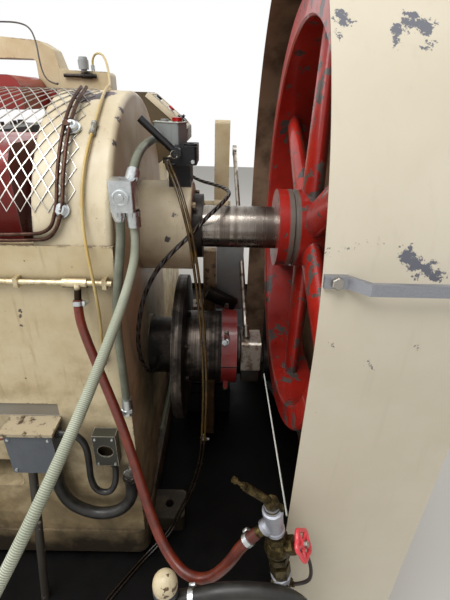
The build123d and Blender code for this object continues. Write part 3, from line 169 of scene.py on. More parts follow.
def paintedFinish(name, look):
    # enamel on castings and sheet: soft gloss, faint mottle, oil film and runs, chips to the metal
    look = {**usualEnamel, **look}
    finish, tree, shader = newFinish(name, ior=look["ior"], coat=look["coat"])
    place = addNode(tree, "ShaderNodeTexCoord").outputs["Object"]
    axes = addNode(tree, "ShaderNodeSeparateXYZ", {0: place})
    stain = patches(tree, place, look["stainMm"], 0.3, 0.7, 8.0)
    drawn = addNode(tree, "ShaderNodeMapping", {"Vector": place, "Scale": (1, 1, 0.1)})
    runs = patches(tree, drawn, look["runMm"], 0.56, 0.76)
    grimeAndShadeDark = hexColour(look.get("grimeAndShadeDark", look["grimeAndShade"]))
    grimeAndShade = layered(tree, hexColour(look["grimeAndShade"]), [(stain, grimeAndShadeDark)])
    flecks = patches(tree, place, look["fleckMm"], look["fleckFrom"], look["fleckFrom"] + 0.05)
    layers = [(patches(tree, place, look["mottleMm"], 0.35, 0.7), hexColour(look["shade"])),
              (combined(tree, "MULTIPLY", runs, look["runShare"]), hexColour(look["grimeAndShade"])),
              (combined(tree, "MULTIPLY", flecks, look["fleckShare"]), grimeAndShade)]
    # darker towards one end along an axis, in the grime colour; on the pitman this is painted shade
    for axis, clean, dirty, share in look["darkerTowards"]:
        reach = addNode(tree, "ShaderNodeMapRange", {"Value": axes.outputs[axis], "From Min": clean,
                                                     "From Max": dirty})
        broken = combined(tree, "ADD", combined(tree, "MULTIPLY", reach, 1.25),
                          combined(tree, "MULTIPLY", stain, 0.6), -0.5)
        mask = addNode(tree, "ShaderNodeMapRange", {"Value": broken, "From Min": 0.05, "From Max": 0.9})
        layers.append((combined(tree, "MULTIPLY", mask, share), grimeAndShade))
    # painted shade: darker by ambient occlusion in recesses, corners and between parts
    for distanceMm, low, high, share, code in look["paintedRecessShade"]:
        occlusionShade = addNode(tree, "ShaderNodeAmbientOcclusion", {"Distance": distanceMm / 1000}, samples=4)
        occlusionShade = addNode(tree, "ShaderNodeMapRange", {"Value": occlusionShade.outputs["AO"], "From Min": high,
                                                    "From Max": low})
        layers.append((combined(tree, "MULTIPLY", occlusionShade, share), hexColour(code)))
    chips = [patches(tree, place, look["chipMm"], look["chipFrom"], look["chipFrom"] + 0.02, 6.0)]
    if look["edgeWear"]:
        rounded = addNode(tree, "ShaderNodeBevel", {"Radius": look["edgeMm"] / 1000}, samples=4)
        flat = addNode(tree, "ShaderNodeNewGeometry").outputs["Normal"]
        turn = addNode(tree, "ShaderNodeVectorMath", {0: rounded, 1: flat}, operation="DOT_PRODUCT")
        edge = addNode(tree, "ShaderNodeMapRange", {"Value": turn.outputs[1], "From Min": 0.995, "From Max": 0.86})
        worn = patches(tree, place, 18, 0.58 - look["edgeWear"], 0.62 - look["edgeWear"], 6.0)
        chips.append(combined(tree, "MULTIPLY", edge, worn))
    if look["wornPlaces"]:
        chips.append(nearPlaces(tree, place, look["wornPlaces"], look["wobbleMm"]))
    chips = combined(tree, "MAXIMUM", *chips)
    layers.append((chips, layered(tree, hexColour(look["bare"]),
                                  [(stain, hexColour(look.get("bareDark", look["bare"])))])))
    layers += look["extra"](tree, place, axes)
    tree.links.new(layered(tree, hexColour(look["paint"]), layers), shader.inputs["Base Color"])
    dull = combined(tree, "MULTIPLY", combined(tree, "MAXIMUM", stain, chips), look["roughnessSpread"])
    gloss = combined(tree, "ADD", dull, look["roughness"])
    tree.links.new(gloss.outputs[0], shader.inputs["Roughness"])
    peel = addNode(tree, "ShaderNodeTexNoise", {"Vector": place, "Scale": 1000 / look["peelMm"]})
    rise = combined(tree, "SUBTRACT", combined(tree, "MULTIPLY", peel, look["peel"]),
                    combined(tree, "MULTIPLY", chips, 0.5))
    bump = addNode(tree, "ShaderNodeBump", {"Height": rise, "Strength": 0.5, "Distance": 0.001})
    tree.links.new(bump.outputs[0], shader.inputs["Normal"])
    return finish


def metalFinish(name, look):
    # machined, cast or drawn metal: tool marks, oil film and darker tarnish
    look = {**usualMetal, **look}
    finish, tree, shader = newFinish(name, metallic=look["metallic"])
    place = addNode(tree, "ShaderNodeTexCoord").outputs["Object"]
    drawn = addNode(tree, "ShaderNodeMapping", {"Vector": place, "Scale": look["grain"]})
    grain = patches(tree, drawn, look["grainMm"], 0.3, 0.7, 4.0)
    bands = patches(tree, drawn, look["bandMm"], 0.42, 0.58, 2.0)
    film = patches(tree, place, look["filmMm"], look["filmFrom"], look["filmFrom"] + 0.2, 7.0)
    layers = [(grain, hexColour(look["shade"])),
              (combined(tree, "MULTIPLY", bands, look["bandShare"]), hexColour(look["film"])),
              (combined(tree, "MULTIPLY", film, look["filmMost"]), hexColour(look["film"]))]
    layers += look["extra"](tree, place)
    tree.links.new(layered(tree, hexColour(look["metal"]), layers), shader.inputs["Base Color"])
    dull = combined(tree, "MULTIPLY", combined(tree, "ADD", film, grain, bands), look["roughnessSpread"])
    rough = combined(tree, "ADD", dull, look["roughness"])
    tree.links.new(rough.outputs[0], shader.inputs["Roughness"])
    bump = addNode(tree, "ShaderNodeBump", {"Height": grain, "Strength": look["bump"],
                                            "Distance": look["bumpMm"] / 1000})
    tree.links.new(bump.outputs[0], shader.inputs["Normal"])
    return finish


def sheathFinish(name, look):
    # extruded plastic or rubber: even colour, wiped dirt, faint gloss; ribs where the sheath is corrugated
    look = {**usualSheath, **look}
    finish, tree, shader = newFinish(name, ior=look["ior"])
    shader.inputs["Transmission Weight"].default_value = look["clear"]
    coords = addNode(tree, "ShaderNodeTexCoord")
    place = coords.outputs["Object"]
    dust = patches(tree, place, look["dustMm"], 0.34, 0.66, 6.0)
    layers = [(dust, hexColour(look["shade"]))]
    relief = combined(tree, "MULTIPLY", patches(tree, place, 2.5, 0.3, 0.7, 2.0), 0.15)
    if look["ribMm"]:
        along = addNode(tree, "ShaderNodeSeparateXYZ", {0: coords.outputs["UV"]})
        turns = combined(tree, "MULTIPLY", along.outputs["X"], 2 * math.pi * look["lengthMm"] / look["ribMm"])
        around = combined(tree, "MULTIPLY", along.outputs["Y"], 2 * math.pi * look["cores"])
        wave = addNode(tree, "ShaderNodeMath", {0: combined(tree, "ADD", turns, around)}, operation="SINE")
        # painted shade: the grooves between ribs or cores take the darker groove colour
        groove = addNode(tree, "ShaderNodeMapRange", {"Value": wave, "From Min": look["grooveAt"],
                                                      "From Max": -0.8})
        layers.append((groove, hexColour(look["groove"])))
        relief = combined(tree, "ADD", relief, combined(tree, "MULTIPLY", wave, 0.5))
    layers += look["extra"](tree, place)
    tree.links.new(layered(tree, hexColour(look["sheath"]), layers), shader.inputs["Base Color"])
    dull = combined(tree, "MULTIPLY", dust, look["roughnessSpread"])
    rough = combined(tree, "ADD", dull, look["roughness"])
    tree.links.new(rough.outputs[0], shader.inputs["Roughness"])
    bump = addNode(tree, "ShaderNodeBump", {"Height": relief, "Strength": look["bump"],
                                            "Distance": look["reliefMm"] / 1000})
    tree.links.new(bump.outputs[0], shader.inputs["Normal"])
    return finish


def onArc(x, angle, radius):
    # a point round the crank axis, by its angle up from level on the operator's side
    return (x, -radius * math.cos(math.radians(angle)), 1.1 + radius * math.sin(math.radians(angle)))


def hubBand(tree, place, axes):
    # the turned band on the flywheel's hub, with its groove, and the oily grey rubbed along it
    radial = addNode(tree, "ShaderNodeVectorMath", {0: place, 1: (0, 1, 1)}, operation="MULTIPLY")
    radial = addNode(tree, "ShaderNodeVectorMath", {0: radial, 1: (0, 0, 1.1)}, operation="DISTANCE")
    nearHub = addNode(tree, "ShaderNodeMath", {0: radial.outputs[1], 1: 0.142}, operation="LESS_THAN")
    band = insideBox(tree, place, (0.957, -0.2, 0.9), (0.989, 0.2, 1.3), 0.002)
    groove = insideBox(tree, place, (0.9725, -0.2, 0.9), (0.9745, 0.2, 1.3), 0.0005)
    worn = patches(tree, addNode(tree, "ShaderNodeMapping", {"Vector": place, "Scale": (2.5, 0.6, 0.6)}), 30,
                   0.22, 0.42, 4.0)
    return [(combined(tree, "MULTIPLY", nearHub, band, worn), hexColour("#6E675F")),
            (combined(tree, "MULTIPLY", nearHub, groove), hexColour("#1E1916"))]


def oilAndShadeInside(tree, place, axes):
    # the inner side of the guard is painted brown: oil thrown off the wheel, and painted shade inside the guard
    above = addNode(tree, "ShaderNodeMath", {0: axes.outputs["Z"], 1: 1.1}, operation="SUBTRACT")
    above = addNode(tree, "ShaderNodeMath", {0: above, 1: 0.0}, operation="MAXIMUM")
    reach = addNode(tree, "ShaderNodeCombineXYZ", {"Y": axes.outputs["Y"], "Z": above})
    reach = addNode(tree, "ShaderNodeVectorMath", {0: reach}, operation="LENGTH").outputs[1]
    inside = addNode(tree, "ShaderNodeMath", {0: reach, 1: 0.7148}, operation="LESS_THAN")
    return [(combined(tree, "MULTIPLY", inside, 0.9), hexColour("#7C5C42")),
            (combined(tree, "MULTIPLY", inside, patches(tree, place, 160, 0.4, 0.7)), hexColour("#4A3524"))]


def oilAndShadeFoot(tree, place, axes):
    # the bed is painted nearly black low down: the oil it stands in, and painted shade round its foot
    low = addNode(tree, "ShaderNodeMapRange", {"Value": axes.outputs["Z"], "From Min": 0.30,
                                               "From Max": 0.03})
    rough = patches(tree, place, 120, 0.3, 0.7, 6.0)
    mask = addNode(tree, "ShaderNodeMapRange", {"Value": combined(tree, "ADD", low, combined(
        tree, "MULTIPLY", rough, 0.5)), "From Min": 0.55, "From Max": 1.15})
    slot = insideBox(tree, place, (-0.324, -0.366, 0.655), (0.324, -0.34, 0.701))
    return [(slot, hexColour("#8C867A")), (combined(tree, "MULTIPLY", mask, 0.93), hexColour("#1A140F"))]


def pipePaint(tree, place):
    # the lubrication pipe is painted with the bed below the copper pipes, and its tee is oily brown
    split = addNode(tree, "ShaderNodeSeparateXYZ", {0: place})
    low = addNode(tree, "ShaderNodeMath", {0: split.outputs["Z"], 1: 1.105}, operation="LESS_THAN")
    oily = patches(tree, place, 14, 0.45, 0.62)
    tee = insideBox(tree, place, (0.400, -0.42, 1.02), (0.464, -0.35, 1.067), 0.004)
    return [(low, hexColour("#D3C6A6")), (combined(tree, "MULTIPLY", low, oily, 0.4), hexColour("#8A7353")),
            (tee, hexColour("#2E241B"))]


creamGuard = {  # rolled sheet guard in gloss cream, knocked through to the blue-grey primer
    "paint": "#D9D0BD", "shade": "#CFC5AF", "grimeAndShade": "#8C7A5E", "bare": "#5A5D6A", "bareDark": "#6C6D74",
    "roughness": 0.44, "chipFrom": 0.84, "chipMm": 30, "fleckFrom": 0.78, "fleckShare": 0.5, "peel": 0.12,
    "mottleMm": 520, "runShare": 0.07, "stainMm": 300, "wobbleMm": 60,
    "extra": oilAndShadeInside,
    "wornPlaces": [(*onArc(x, angle, 0.716), radius) for x, angle, radius in (
        (0.917, 39.5, 0.011), (0.927, 38.9, 0.008), (0.911, 37.0, 0.006), (0.991, 38.2, 0.009),
        (0.989, 36.9, 0.009), (1.013, 39.0, 0.014), (1.029, 38.5, 0.013), (1.029, 36.3, 0.007),
        (1.012, 14.2, 0.012), (1.026, 13.4, 0.014), (1.042, 12.8, 0.012), (1.056, 11.9, 0.010),
        (0.989, 0.7, 0.004), (0.924, 3.2, 0.0035), (1.053, 3.5, 0.0035),
        (0.916, -7.1, 0.004), (1.127, -21.9, 0.005), (0.906, 14.1, 0.003), (0.920, 14.4, 0.002),
        (0.932, 14.6, 0.0025), (0.945, 15.0, 0.002), (0.960, 15.3, 0.0025), (0.974, 15.6, 0.002))],
}
creamCasting = {  # brushed enamel on cast iron: thicker, yellower, darker towards its foot and near black at it with oil and painted shade; painted shade in its corners and deep recesses
    "paint": "#D6C7A4", "shade": "#C4B088", "grimeAndShade": "#8A6A3C", "grimeAndShadeDark": "#4A3720", "bare": "#4A403A",
    "bareDark": "#66594F", "roughness": 0.38, "chipFrom": 0.725, "chipMm": 22, "edgeWear": 0.05, "edgeMm": 6,
    "fleckShare": 0.5, "peel": 0.5, "peelMm": 9, "runShare": 0.35, "mottleMm": 180, "stainMm": 90,
    "paintedRecessShade": [(40, 0.3, 0.85, 0.7, "#5A4832"), (350, 0.1, 0.55, 0.6, "#2A2019")],
    "darkerTowards": [("Z", 0.9, 0.15, 0.62)],
    "wornPlaces": [(0.284, -0.36, 0.990, 0.010), (0.282, -0.36, 0.976, 0.009), (0.280, -0.36, 0.952, 0.008),
                   (0.305, -0.36, 0.930, 0.003), (0.301, -0.36, 0.918, 0.0035), (0.296, -0.36, 0.905, 0.003),
                   (0.399, -0.36, 1.112, 0.004), (0.341, -0.36, 1.135, 0.003), (0.360, -0.36, 1.042, 0.003),
                   (0.396, -0.36, 1.055, 0.003), (0.478, -0.36, 0.816, 0.006), (0.223, -0.36, 0.772, 0.004)],
    "wobbleMm": 22, "extra": oilAndShadeFoot,
}
creamArch = dict(  # the arch covers: paler, chipped to the dark iron along their top and edges
    # a little darker lower down, and painted shade in their recesses
    creamCasting, paint="#D8CCAF", shade="#C9BA9A", darkerTowards=[("Z", 1.2, 0.9, 0.25)], runShare=0.25,
    paintedRecessShade=[(30, 0.3, 0.85, 0.6, "#5A4832")], chipFrom=0.715, extra=nothingMore, edgeWear=0.12,
    bare="#39312C", bareDark="#6A5F66", wobbleMm=38,
    wornPlaces=[(*onArc(x, angle, 0.367), radius) for x, angle, radius in (
        (0.470, 78, 0.024), (0.455, 74, 0.026), (0.405, 77, 0.030), (0.425, 70, 0.022))] + [
        (0.632, -0.118, 1.165, 0.007), (0.612, -0.134, 1.10, 0.010), (0.645, -0.128, 1.205, 0.006)] + [
        (*onArc(0.523, angle, 0.36), radius) for angle, radius in ((64, 0.010), (58, 0.007), (46, 0.008))])
creamBridge = dict(  # the bridge: darker brown towards its feet, with painted shade in its corners
    creamCasting, darkerTowards=[("Z", 1.5, 1.28, 0.55)], paintedRecessShade=[(40, 0.3, 0.85, 0.7, "#5A4832")],
    extra=nothingMore)
creamBolt = dict(creamBridge, chipFrom=0.66, chipMm=12, edgeWear=0.15, edgeMm=2)  # chipped by spanners
redEnamel = {  # gloss red on the flywheel, rubbed to the iron along the spokes and the hub
    "paint": "#B9281C", "shade": "#9C1E16", "grimeAndShade": "#3B1712", "bare": "#5E5550", "bareDark": "#413A37",
    "coat": 0.28, "roughness": 0.27, "chipMm": 62, "chipFrom": 0.575, "edgeWear": 0.14, "edgeMm": 6,
    "fleckShare": 0.25, "peel": 0.35, "peelMm": 8, "mottleMm": 140, "runShare": 0.0,
    # painted shade deep inside the wheel and in its corners
    "paintedRecessShade": [(320, 0.1, 0.75, 0.8, "#3A0906"), (40, 0.3, 0.8, 0.5, "#2A0D0A")], "extra": hubBand,
}
redPitman = dict(  # the pitman and its hood: deeper red, with painted shade towards their bottom and from the depth of the crank bay
    redEnamel, paint="#96251D", shade="#7A1D17", darkerTowards=[("Z", 1.3, 1.0, 0.7)], chipFrom=0.72,
    paintedRecessShade=[(200, 0.1, 0.7, 0.7, "#1E0B09")], extra=nothingMore)
redCollar = dict(redPitman, paint="#8E1F1A", shade="#6F1713", darkerTowards=(),
                 paintedRecessShade=[(30, 0.3, 0.8, 0.5, "#2A0D0A")])  # the split collar: painted shade only in its joints
blackPan = {  # thin black enamel, wet with oil; its near black is partly painted shade of the pit under the machine
    "paint": "#050404", "shade": "#080706", "grimeAndShade": "#120D08", "bare": "#1A1511", "roughness": 0.42,
    "ior": 1.22, "chipFrom": 0.8, "peel": 0.3, "runShare": 0.1, "mottleMm": 160,
}
oiledCasing = dict(blackPan, ior=1.45, paint="#141518", shade="#1C1D20", grimeAndShade="#2A221A", bare="#55504A",
                   edgeWear=0.08)  # motor and lever box: a glossier black, grey at its edges
greyBox = {  # hammered blue-grey enamel on pressed boxes
    "paint": "#A2A7A6", "shade": "#8C9190", "grimeAndShade": "#4A443A", "bare": "#9A968C", "roughness": 0.4,
    "peelMm": 4, "peel": 0.8, "edgeWear": 0.06, "edgeMm": 3, "chipFrom": 0.77, "runShare": 0.2,
    # painted shade in the box's corners and seams
    "paintedRecessShade": [(25, 0.3, 0.85, 0.5, "#3A342C")],
}
# the console's sheet in olive-brown, painted as the shade it stands in, and the bracket box gone dark with oil,
# bright at its worn edges
shadedConsoleOlive = dict(greyBox, paint="#5A4B32", shade="#4A3D29", grimeAndShade="#2E2418", bare="#8B8572")
oilyBracket = dict(greyBox, paint="#3B3A30", shade="#2C2B23", grimeAndShade="#1A1712", bare="#B4AF9E", edgeWear=0.2)


def creamLid(tree, place, axes):
    # the junction box has a cream lid, stained round its screws, and a dark oily pipe below
    lid = addNode(tree, "ShaderNodeMath", {0: axes.outputs["Z"], 1: 0.640}, operation="GREATER_THAN")
    pipe = addNode(tree, "ShaderNodeMath", {0: axes.outputs["Z"], 1: 0.497}, operation="LESS_THAN")
    stains = patches(tree, place, 26, 0.5, 0.64, 6.0)
    splash = patches(tree, place, 30, 0.6, 0.66, 5.0)
    return [(lid, hexColour("#B0A287")), (combined(tree, "MULTIPLY", lid, stains), hexColour("#4A3A28")),
            (pipe, hexColour("#35302A")), (combined(tree, "MULTIPLY", pipe, splash), hexColour("#8C857A"))]


# the junction box's slate grey is darkened as painted shade of its front
junctionGrey = dict(greyBox, paint="#5E636A", shade="#4F5359", grimeAndShade="#3A332A", extra=creamLid)  # slate grey
darkCasting = {  # raw iron casting under old oil
    "metallic": 0.6, "metal": "#3A332D", "shade": "#28231F", "film": "#12100D", "roughness": 0.3,
    "grainMm": 4, "bump": 0.4, "bumpMm": 0.6, "filmFrom": 0.42,
}
turnedIron = dict(darkCasting, metallic=0.85, metal="#6A6058", shade="#473F38", grain=(1, 0.02, 0.02),
                  grainMm=2.5, bandMm=22, bandShare=0.75, bump=0.2)  # rings of light and dark round the shaft
shaftSteel = {  # turned shaft: rings of tool marks and rust-brown oil
    "metal": "#A49C93", "shade": "#8B837A", "film": "#4A3E34", "roughness": 0.17, "grainMm": 1.6,
    "grain": (1, 0.01, 0.01), "bandMm": 34, "bandShare": 0.5, "filmFrom": 0.52, "filmMost": 0.5, "bump": 0.1,
}
brightSteel = {  # ground steel with a little oil on it
    "metal": "#A8A39A", "shade": "#8F8A81", "film": "#5C5044", "roughness": 0.26, "grainMm": 1.5,
    "grain": (1, 6, 6), "filmFrom": 0.55,
}
handleSteel = dict(brightSteel, metal="#A9ABB2", shade="#93959C", film="#77777A", roughness=0.4)  # dull bar
feedSteel = dict(brightSteel, metal="#BFBAB0", shade="#968D80", film="#57412C", filmFrom=0.45, filmMm=26,
                 roughness=0.3)  # pale steel under patches of brown oil
blackSteel = {  # oiled steel
    "metallic": 0.8, "metal": "#4A443E", "shade": "#35302B", "film": "#1B1714", "roughness": 0.3,
}
zincSheet = {  # galvanised and die-cast zinc fittings
    "metal": "#D3D7D8", "shade": "#C0C4C4", "film": "#8A867B", "roughness": 0.24, "grainMm": 14,
    "filmFrom": 0.6, "filmMm": 24, "bump": 0.06,
}
meshZinc = dict(zincSheet, metal="#D5D3CE", shade="#A39C92", roughness=0.3)  # duller than the fittings
bronze = {  # turned bronze, warm and evenly bright
    "metal": "#B08A52", "shade": "#8F6C3C", "film": "#4C3822", "roughness": 0.3, "grainMm": 2,
}
valveBrass = {  # dull cast brass, dark in its corners
    "metal": "#6A5C3A", "shade": "#4A3F28", "film": "#1E1911", "roughness": 0.38, "filmFrom": 0.4,
    "filmMm": 18,
}
copperPipe = {  # drawn copper gone brown
    "metal": "#5E463C", "shade": "#47332B", "film": "#2C211C", "roughness": 0.34, "grainMm": 4,
    "extra": pipePaint,
}
beltRubber = {"sheath": "#1C1B1A", "shade": "#2A2826", "roughness": 0.62, "bump": 0.4}  # matt black
ribbedConduit = {  # corrugated sheath, with painted shade in the grooves between its ribs
    "sheath": "#C3C7B2", "shade": "#A9AE99", "groove": "#7F8472", "roughness": 0.3, "ribMm": 3.4,
    "lengthMm": 1590, "reliefMm": 0.7, "bump": 0.8, "dustMm": 120,
}
smoothConduit = {"sheath": "#767A69", "shade": "#5F6355", "roughness": 0.34, "dustMm": 60}  # dull grey-green
brownHose = {"sheath": "#6E2A17", "shade": "#4C1A0F", "roughness": 0.28, "bump": 0.2}  # glossy red-brown
yellowTube = {  # translucent nylon, yellowed with age
    "sheath": "#D3BE86", "shade": "#C9A95C", "roughness": 0.25, "clear": 0.15, "dustMm": 160,
}


def amberFoot(tree, place):
    # below its joint the amber tube turns nearly black
    low = addNode(tree, "ShaderNodeSeparateXYZ", {0: place})
    low = addNode(tree, "ShaderNodeMapRange", {"Value": low.outputs["Z"], "From Min": 0.46, "From Max": 0.42})
    return [(low, hexColour("#1C140C"))]


amberTube = {  # translucent nylon, full of brown oil
    "sheath": "#5F4A20", "shade": "#3A2B12", "roughness": 0.16, "clear": 0.1, "extra": amberFoot,
}
blackCable = {  # three loosely laid cores, wound round each other
    "sheath": "#2A2521", "shade": "#4A4038", "roughness": 0.26, "dustMm": 30, "ribMm": 30, "lengthMm": 1408,
    # painted shade in the grooves between the cores
    "groove": "#060505", "grooveAt": 0.5, "reliefMm": 3.0, "bump": 1.0, "cores": 3,
}
blackWire = {"sheath": "#2A2220", "shade": "#3A302B", "roughness": 0.3}  # thin wire, brownish black
darkHose = {"sheath": "#1B1B1A", "shade": "#2C2925", "roughness": 0.34, "dustMm": 30}  # dusty black rubber
blackPlastic = {"sheath": "#131314", "shade": "#1E1E20", "roughness": 0.28}  # moulded, faintly glossy
redPlastic = {"sheath": "#B51B14", "shade": "#9A130E", "roughness": 0.24}  # moulded, even red
clearJoint = {  # clear plastic, greyed by oil inside
    "sheath": "#C9C8BE", "shade": "#8E8D84", "roughness": 0.12, "clear": 0.35, "dustMm": 8,
}
creamConsole = dict(  # pressed cream frame with small chips
    creamGuard, extra=nothingMore, paint="#D9CDB2", shade="#C9BB9C", wornPlaces=(),
    # painted shade in the frame's corners
    paintedRecessShade=[(12, 0.3, 0.85, 0.6, "#5A4832")], chipFrom=0.76, chipMm=12, mottleMm=60, fleckMm=5)
rustyCream = dict(  # old cream, rusted through in patches
    creamCasting, paint="#B9A27C", shade="#9A7F55", grimeAndShade="#6A431F", grimeAndShadeDark="#3A2412", bare="#5A3A22",
    # darker towards its foot; painted shade in its recesses, as on the casting
    chipFrom=0.56, chipMm=24, extra=nothingMore, darkerTowards=[("Z", 0.8, 0.2, 0.9)])
paleKnob = dict(rustyCream, paint="#D8CAA8", shade="#C2AE86", chipFrom=0.57,
                # darker towards its underside
                darkerTowards=[("Z", 0.74, 0.66, 0.7)])  # pale cream with brown chips
paleLid = dict(greyBox, paint="#CFD1CA", shade="#B9BCB3", bare="#E2E2DC")  # pale grey lid
redWheelPaint = dict(redEnamel, paint="#E0404A", shade="#C4303A", paintedRecessShade=(), extra=nothingMore,
                     chipFrom=0.8, edgeWear=0.0, mottleMm=40)  # clean bright red of the small handwheel

finishes = {}
for maker, looks in (
        (paintedFinish, {
            "creamEnamelGuard": creamGuard, "creamEnamelCasting": creamCasting, "creamEnamelArch": creamArch,
            "creamEnamelBridge": creamBridge, "redEnamelWheel": redEnamel, "redEnamelPitman": redPitman,
            "redEnamelCollar": redCollar, "blackEnamelPan": blackPan, "blackEnamelCasing": oiledCasing,
            "greyHammerEnamel": greyBox, "shadedConsoleEnamel": shadedConsoleOlive, "oilyBracketEnamel": oilyBracket,
            "junctionGreyEnamel": junctionGrey, "creamConsole": creamConsole, "rustyCream": rustyCream,
            "paleKnob": paleKnob, "creamBoltEnamel": creamBolt, "paleLid": paleLid,
            "redWheelEnamel": redWheelPaint}),
        (metalFinish, {
            "oiledFeedSteel": feedSteel, "oilyCastIron": darkCasting, "turnedIron": turnedIron,
            "turnedShaftSteel": shaftSteel, "groundSteel": brightSteel, "dullFlatSteel": handleSteel,
            "oiledSteel": blackSteel, "galvanisedSheet": zincSheet, "galvanisedMesh": meshZinc,
            "turnedBronze": bronze, "castBrass": valveBrass, "drawnCopper": copperPipe}),
        (sheathFinish, {
            "beltRubber": beltRubber, "smoothConduitSheath": smoothConduit,
            "ribbedConduitSheath": ribbedConduit, "brownHoseRubber": brownHose,
            "yellowNylonTube": yellowTube, "amberNylonTube": amberTube,
            "blackCableRubber": blackCable, "blackWireSheath": blackWire, "darkHoseRubber": darkHose,
            "blackMouldedPlastic": blackPlastic, "redMouldedPlastic": redPlastic, "clearJoint": clearJoint})):
    for name, look in looks.items():
        finishes[name] = maker(name, look)

nodeFinish = {
    "creamEnamelGuard": ["guard_wrap", "guard_side_plate"],
    "creamEnamelCasting": ["bed", "feed_box", "feed_lever"],
    "oilyBracketEnamel": ["bracket_box"],
    "junctionGreyEnamel": ["junction_box"],
    "creamEnamelArch": ["arch_covers", "bearing_housings"],
    "creamEnamelBridge": ["bridge"],
    "shadedConsoleEnamel": ["console"],
    "redEnamelWheel": ["flywheel"],
    "redEnamelPitman": ["pitman", "pitman_cap", "ram_hood"],
    "redEnamelCollar": ["split_collar", "valve_wheel"],
    "blackEnamelPan": ["oil_pan"],
    "blackEnamelCasing": ["drive_motor", "lever_box"],
    "greyHammerEnamel": ["push_button_box"],
    "oilyCastIron": ["bearing_plates"],
    "turnedIron": ["cam_shaft"],
    "turnedShaftSteel": ["crankshaft"],
    "oiledFeedSteel": ["feed_rod"],
    "groundSteel": ["wrist_pin", "punches", "cutter", "feed_roll_upper", "feed_roll_lower"],
    "dullFlatSteel": ["guard_handle"],
    "oiledSteel": ["crank_gear", "cam_gear", "ram", "ram_guides", "die_block", "motor_pulley"],
    "galvanisedSheet": ["mesh_guard", "conduit_fittings"],
    "turnedBronze": ["bearing_bushes"],
    "castBrass": ["valve_manifold"],
    "drawnCopper": ["oil_pipes"],
    "beltRubber": ["drive_belts"],
    "blackMouldedPlastic": ["hand_lever", "start_button", "selector"],
    "redMouldedPlastic": ["stop_button", "red_button"],
}
for finishName, names in nodeFinish.items():
    for name in names:
        for slot in nodes[name].material_slots:
            slot.material = finishes[finishName]
print("finishes made:", len(finishes))


def layCord(name, node, finish, points, radius):
    # a hose or cable on its route; the points are those of the model, in metres
    line = bpy.data.curves.new(name, "CURVE")
    line.dimensions = "3D"
    spline = line.splines.new("NURBS")
    spline.points.add(len(points) - 1)
    for spot, place in zip(spline.points, points):
        spot.co = (*place, 1)
    spline.order_u = 3
    spline.use_endpoint_u = True
    spline.resolution_u = 8
    line.bevel_depth = radius
    line.bevel_resolution = 5
    line.use_fill_caps = True
    piece = bpy.data.objects.new(name, line)
    bpy.context.collection.objects.link(piece)
    line.materials.append(finishes[finish])
    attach(piece, "frame")
    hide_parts(node)
    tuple(points[0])


topConduitRoute = [(0.568, -0.3, 1.308), (0.568, -0.266, 1.3284), (0.57, -0.216, 1.343), (0.572, -0.155, 1.35),
                   (0.575, -0.092, 1.353), (0.578, -0.034, 1.354)]
downConduitRoute = [(0.541, -0.348, 1.222), (0.541, -0.348, 1.192), (0.54, -0.363, 1.156),
                    (0.536, -0.384, 1.104), (0.525, -0.39, 1.03), (0.519, -0.39, 0.94), (0.52, -0.389, 0.85),
                    (0.52, -0.388, 0.786), (0.52, -0.388, 0.744)]
rearConduitRoute = [(0.572, -0.348, 1.2), (0.572, -0.348, 1.166), (0.57, -0.372, 1.122),
                    (0.562, -0.454, 1.074), (0.548, -0.554, 1.026), (0.528, -0.655, 0.97), (0.5, -0.74, 0.908),
                    (0.46, -0.825, 0.83), (0.405, -0.88, 0.73), (0.35, -0.88, 0.62), (0.285, -0.815, 0.52),
                    (0.215, -0.715, 0.44), (0.135, -0.6, 0.35), (0.065, -0.505, 0.28), (0.02, -0.442, 0.262),
                    (0.02, -0.396, 0.262)]
coolantRoute = [(0.44, -0.3965, 1.04), (0.44, -0.4073, 1.0094), (0.456, -0.43, 0.968), (0.482, -0.46, 0.92),
                (0.516, -0.5, 0.862), (0.55, -0.543, 0.812), (0.586, -0.598, 0.752), (0.628, -0.668, 0.68),
                (0.664, -0.716, 0.64), (0.705, -0.752, 0.62), (0.752, -0.768, 0.634), (0.79, -0.769, 0.69),
                (0.814, -0.764, 0.7471), (0.84, -0.762, 0.7771)]
yellowRoute = [(0.3, 0.4, 1.546), (0.3, 0.4, 1.564), (0.318, 0.39, 1.582), (0.346, 0.364, 1.578),
               (0.368, 0.318, 1.558), (0.386, 0.268, 1.536), (0.402, 0.212, 1.514), (0.418, 0.152, 1.495),
               (0.434, 0.09, 1.483), (0.448, 0.03, 1.478), (0.46, -0.0328, 1.4746), (0.468, -0.091, 1.4648),
               (0.474, -0.1533, 1.4444), (0.476, -0.2162, 1.4088), (0.47, -0.2712, 1.3619),
               (0.463, -0.3162, 1.3053), (0.462, -0.3495, 1.2412), (0.468, -0.376, 1.18), (0.476, -0.39, 1.13),
               (0.482, -0.398, 1.08), (0.483, -0.394, 1.025), (0.479, -0.382, 0.965), (0.472, -0.376, 0.912),
               (0.472, -0.376, 0.866)]
amberRoute = [(0.606, -0.06, 1.3), (0.606, -0.076, 1.3), (0.619, -0.11, 1.285), (0.642, -0.154, 1.25),
              (0.661, -0.194, 1.206), (0.678, -0.214, 1.145), (0.69, -0.222, 1.065), (0.7, -0.226, 0.975),
              (0.708, -0.228, 0.88), (0.713, -0.229, 0.78), (0.716, -0.231, 0.68), (0.715, -0.235, 0.58),
              (0.711, -0.24, 0.45), (0.704, -0.25, 0.35), (0.672, -0.27, 0.227), (0.624, -0.29, 0.117),
              (0.592, -0.312, 0.048), (0.524, -0.36, 0.008), (0.465, -0.44, 0.008), (0.414, -0.514, 0.008)]
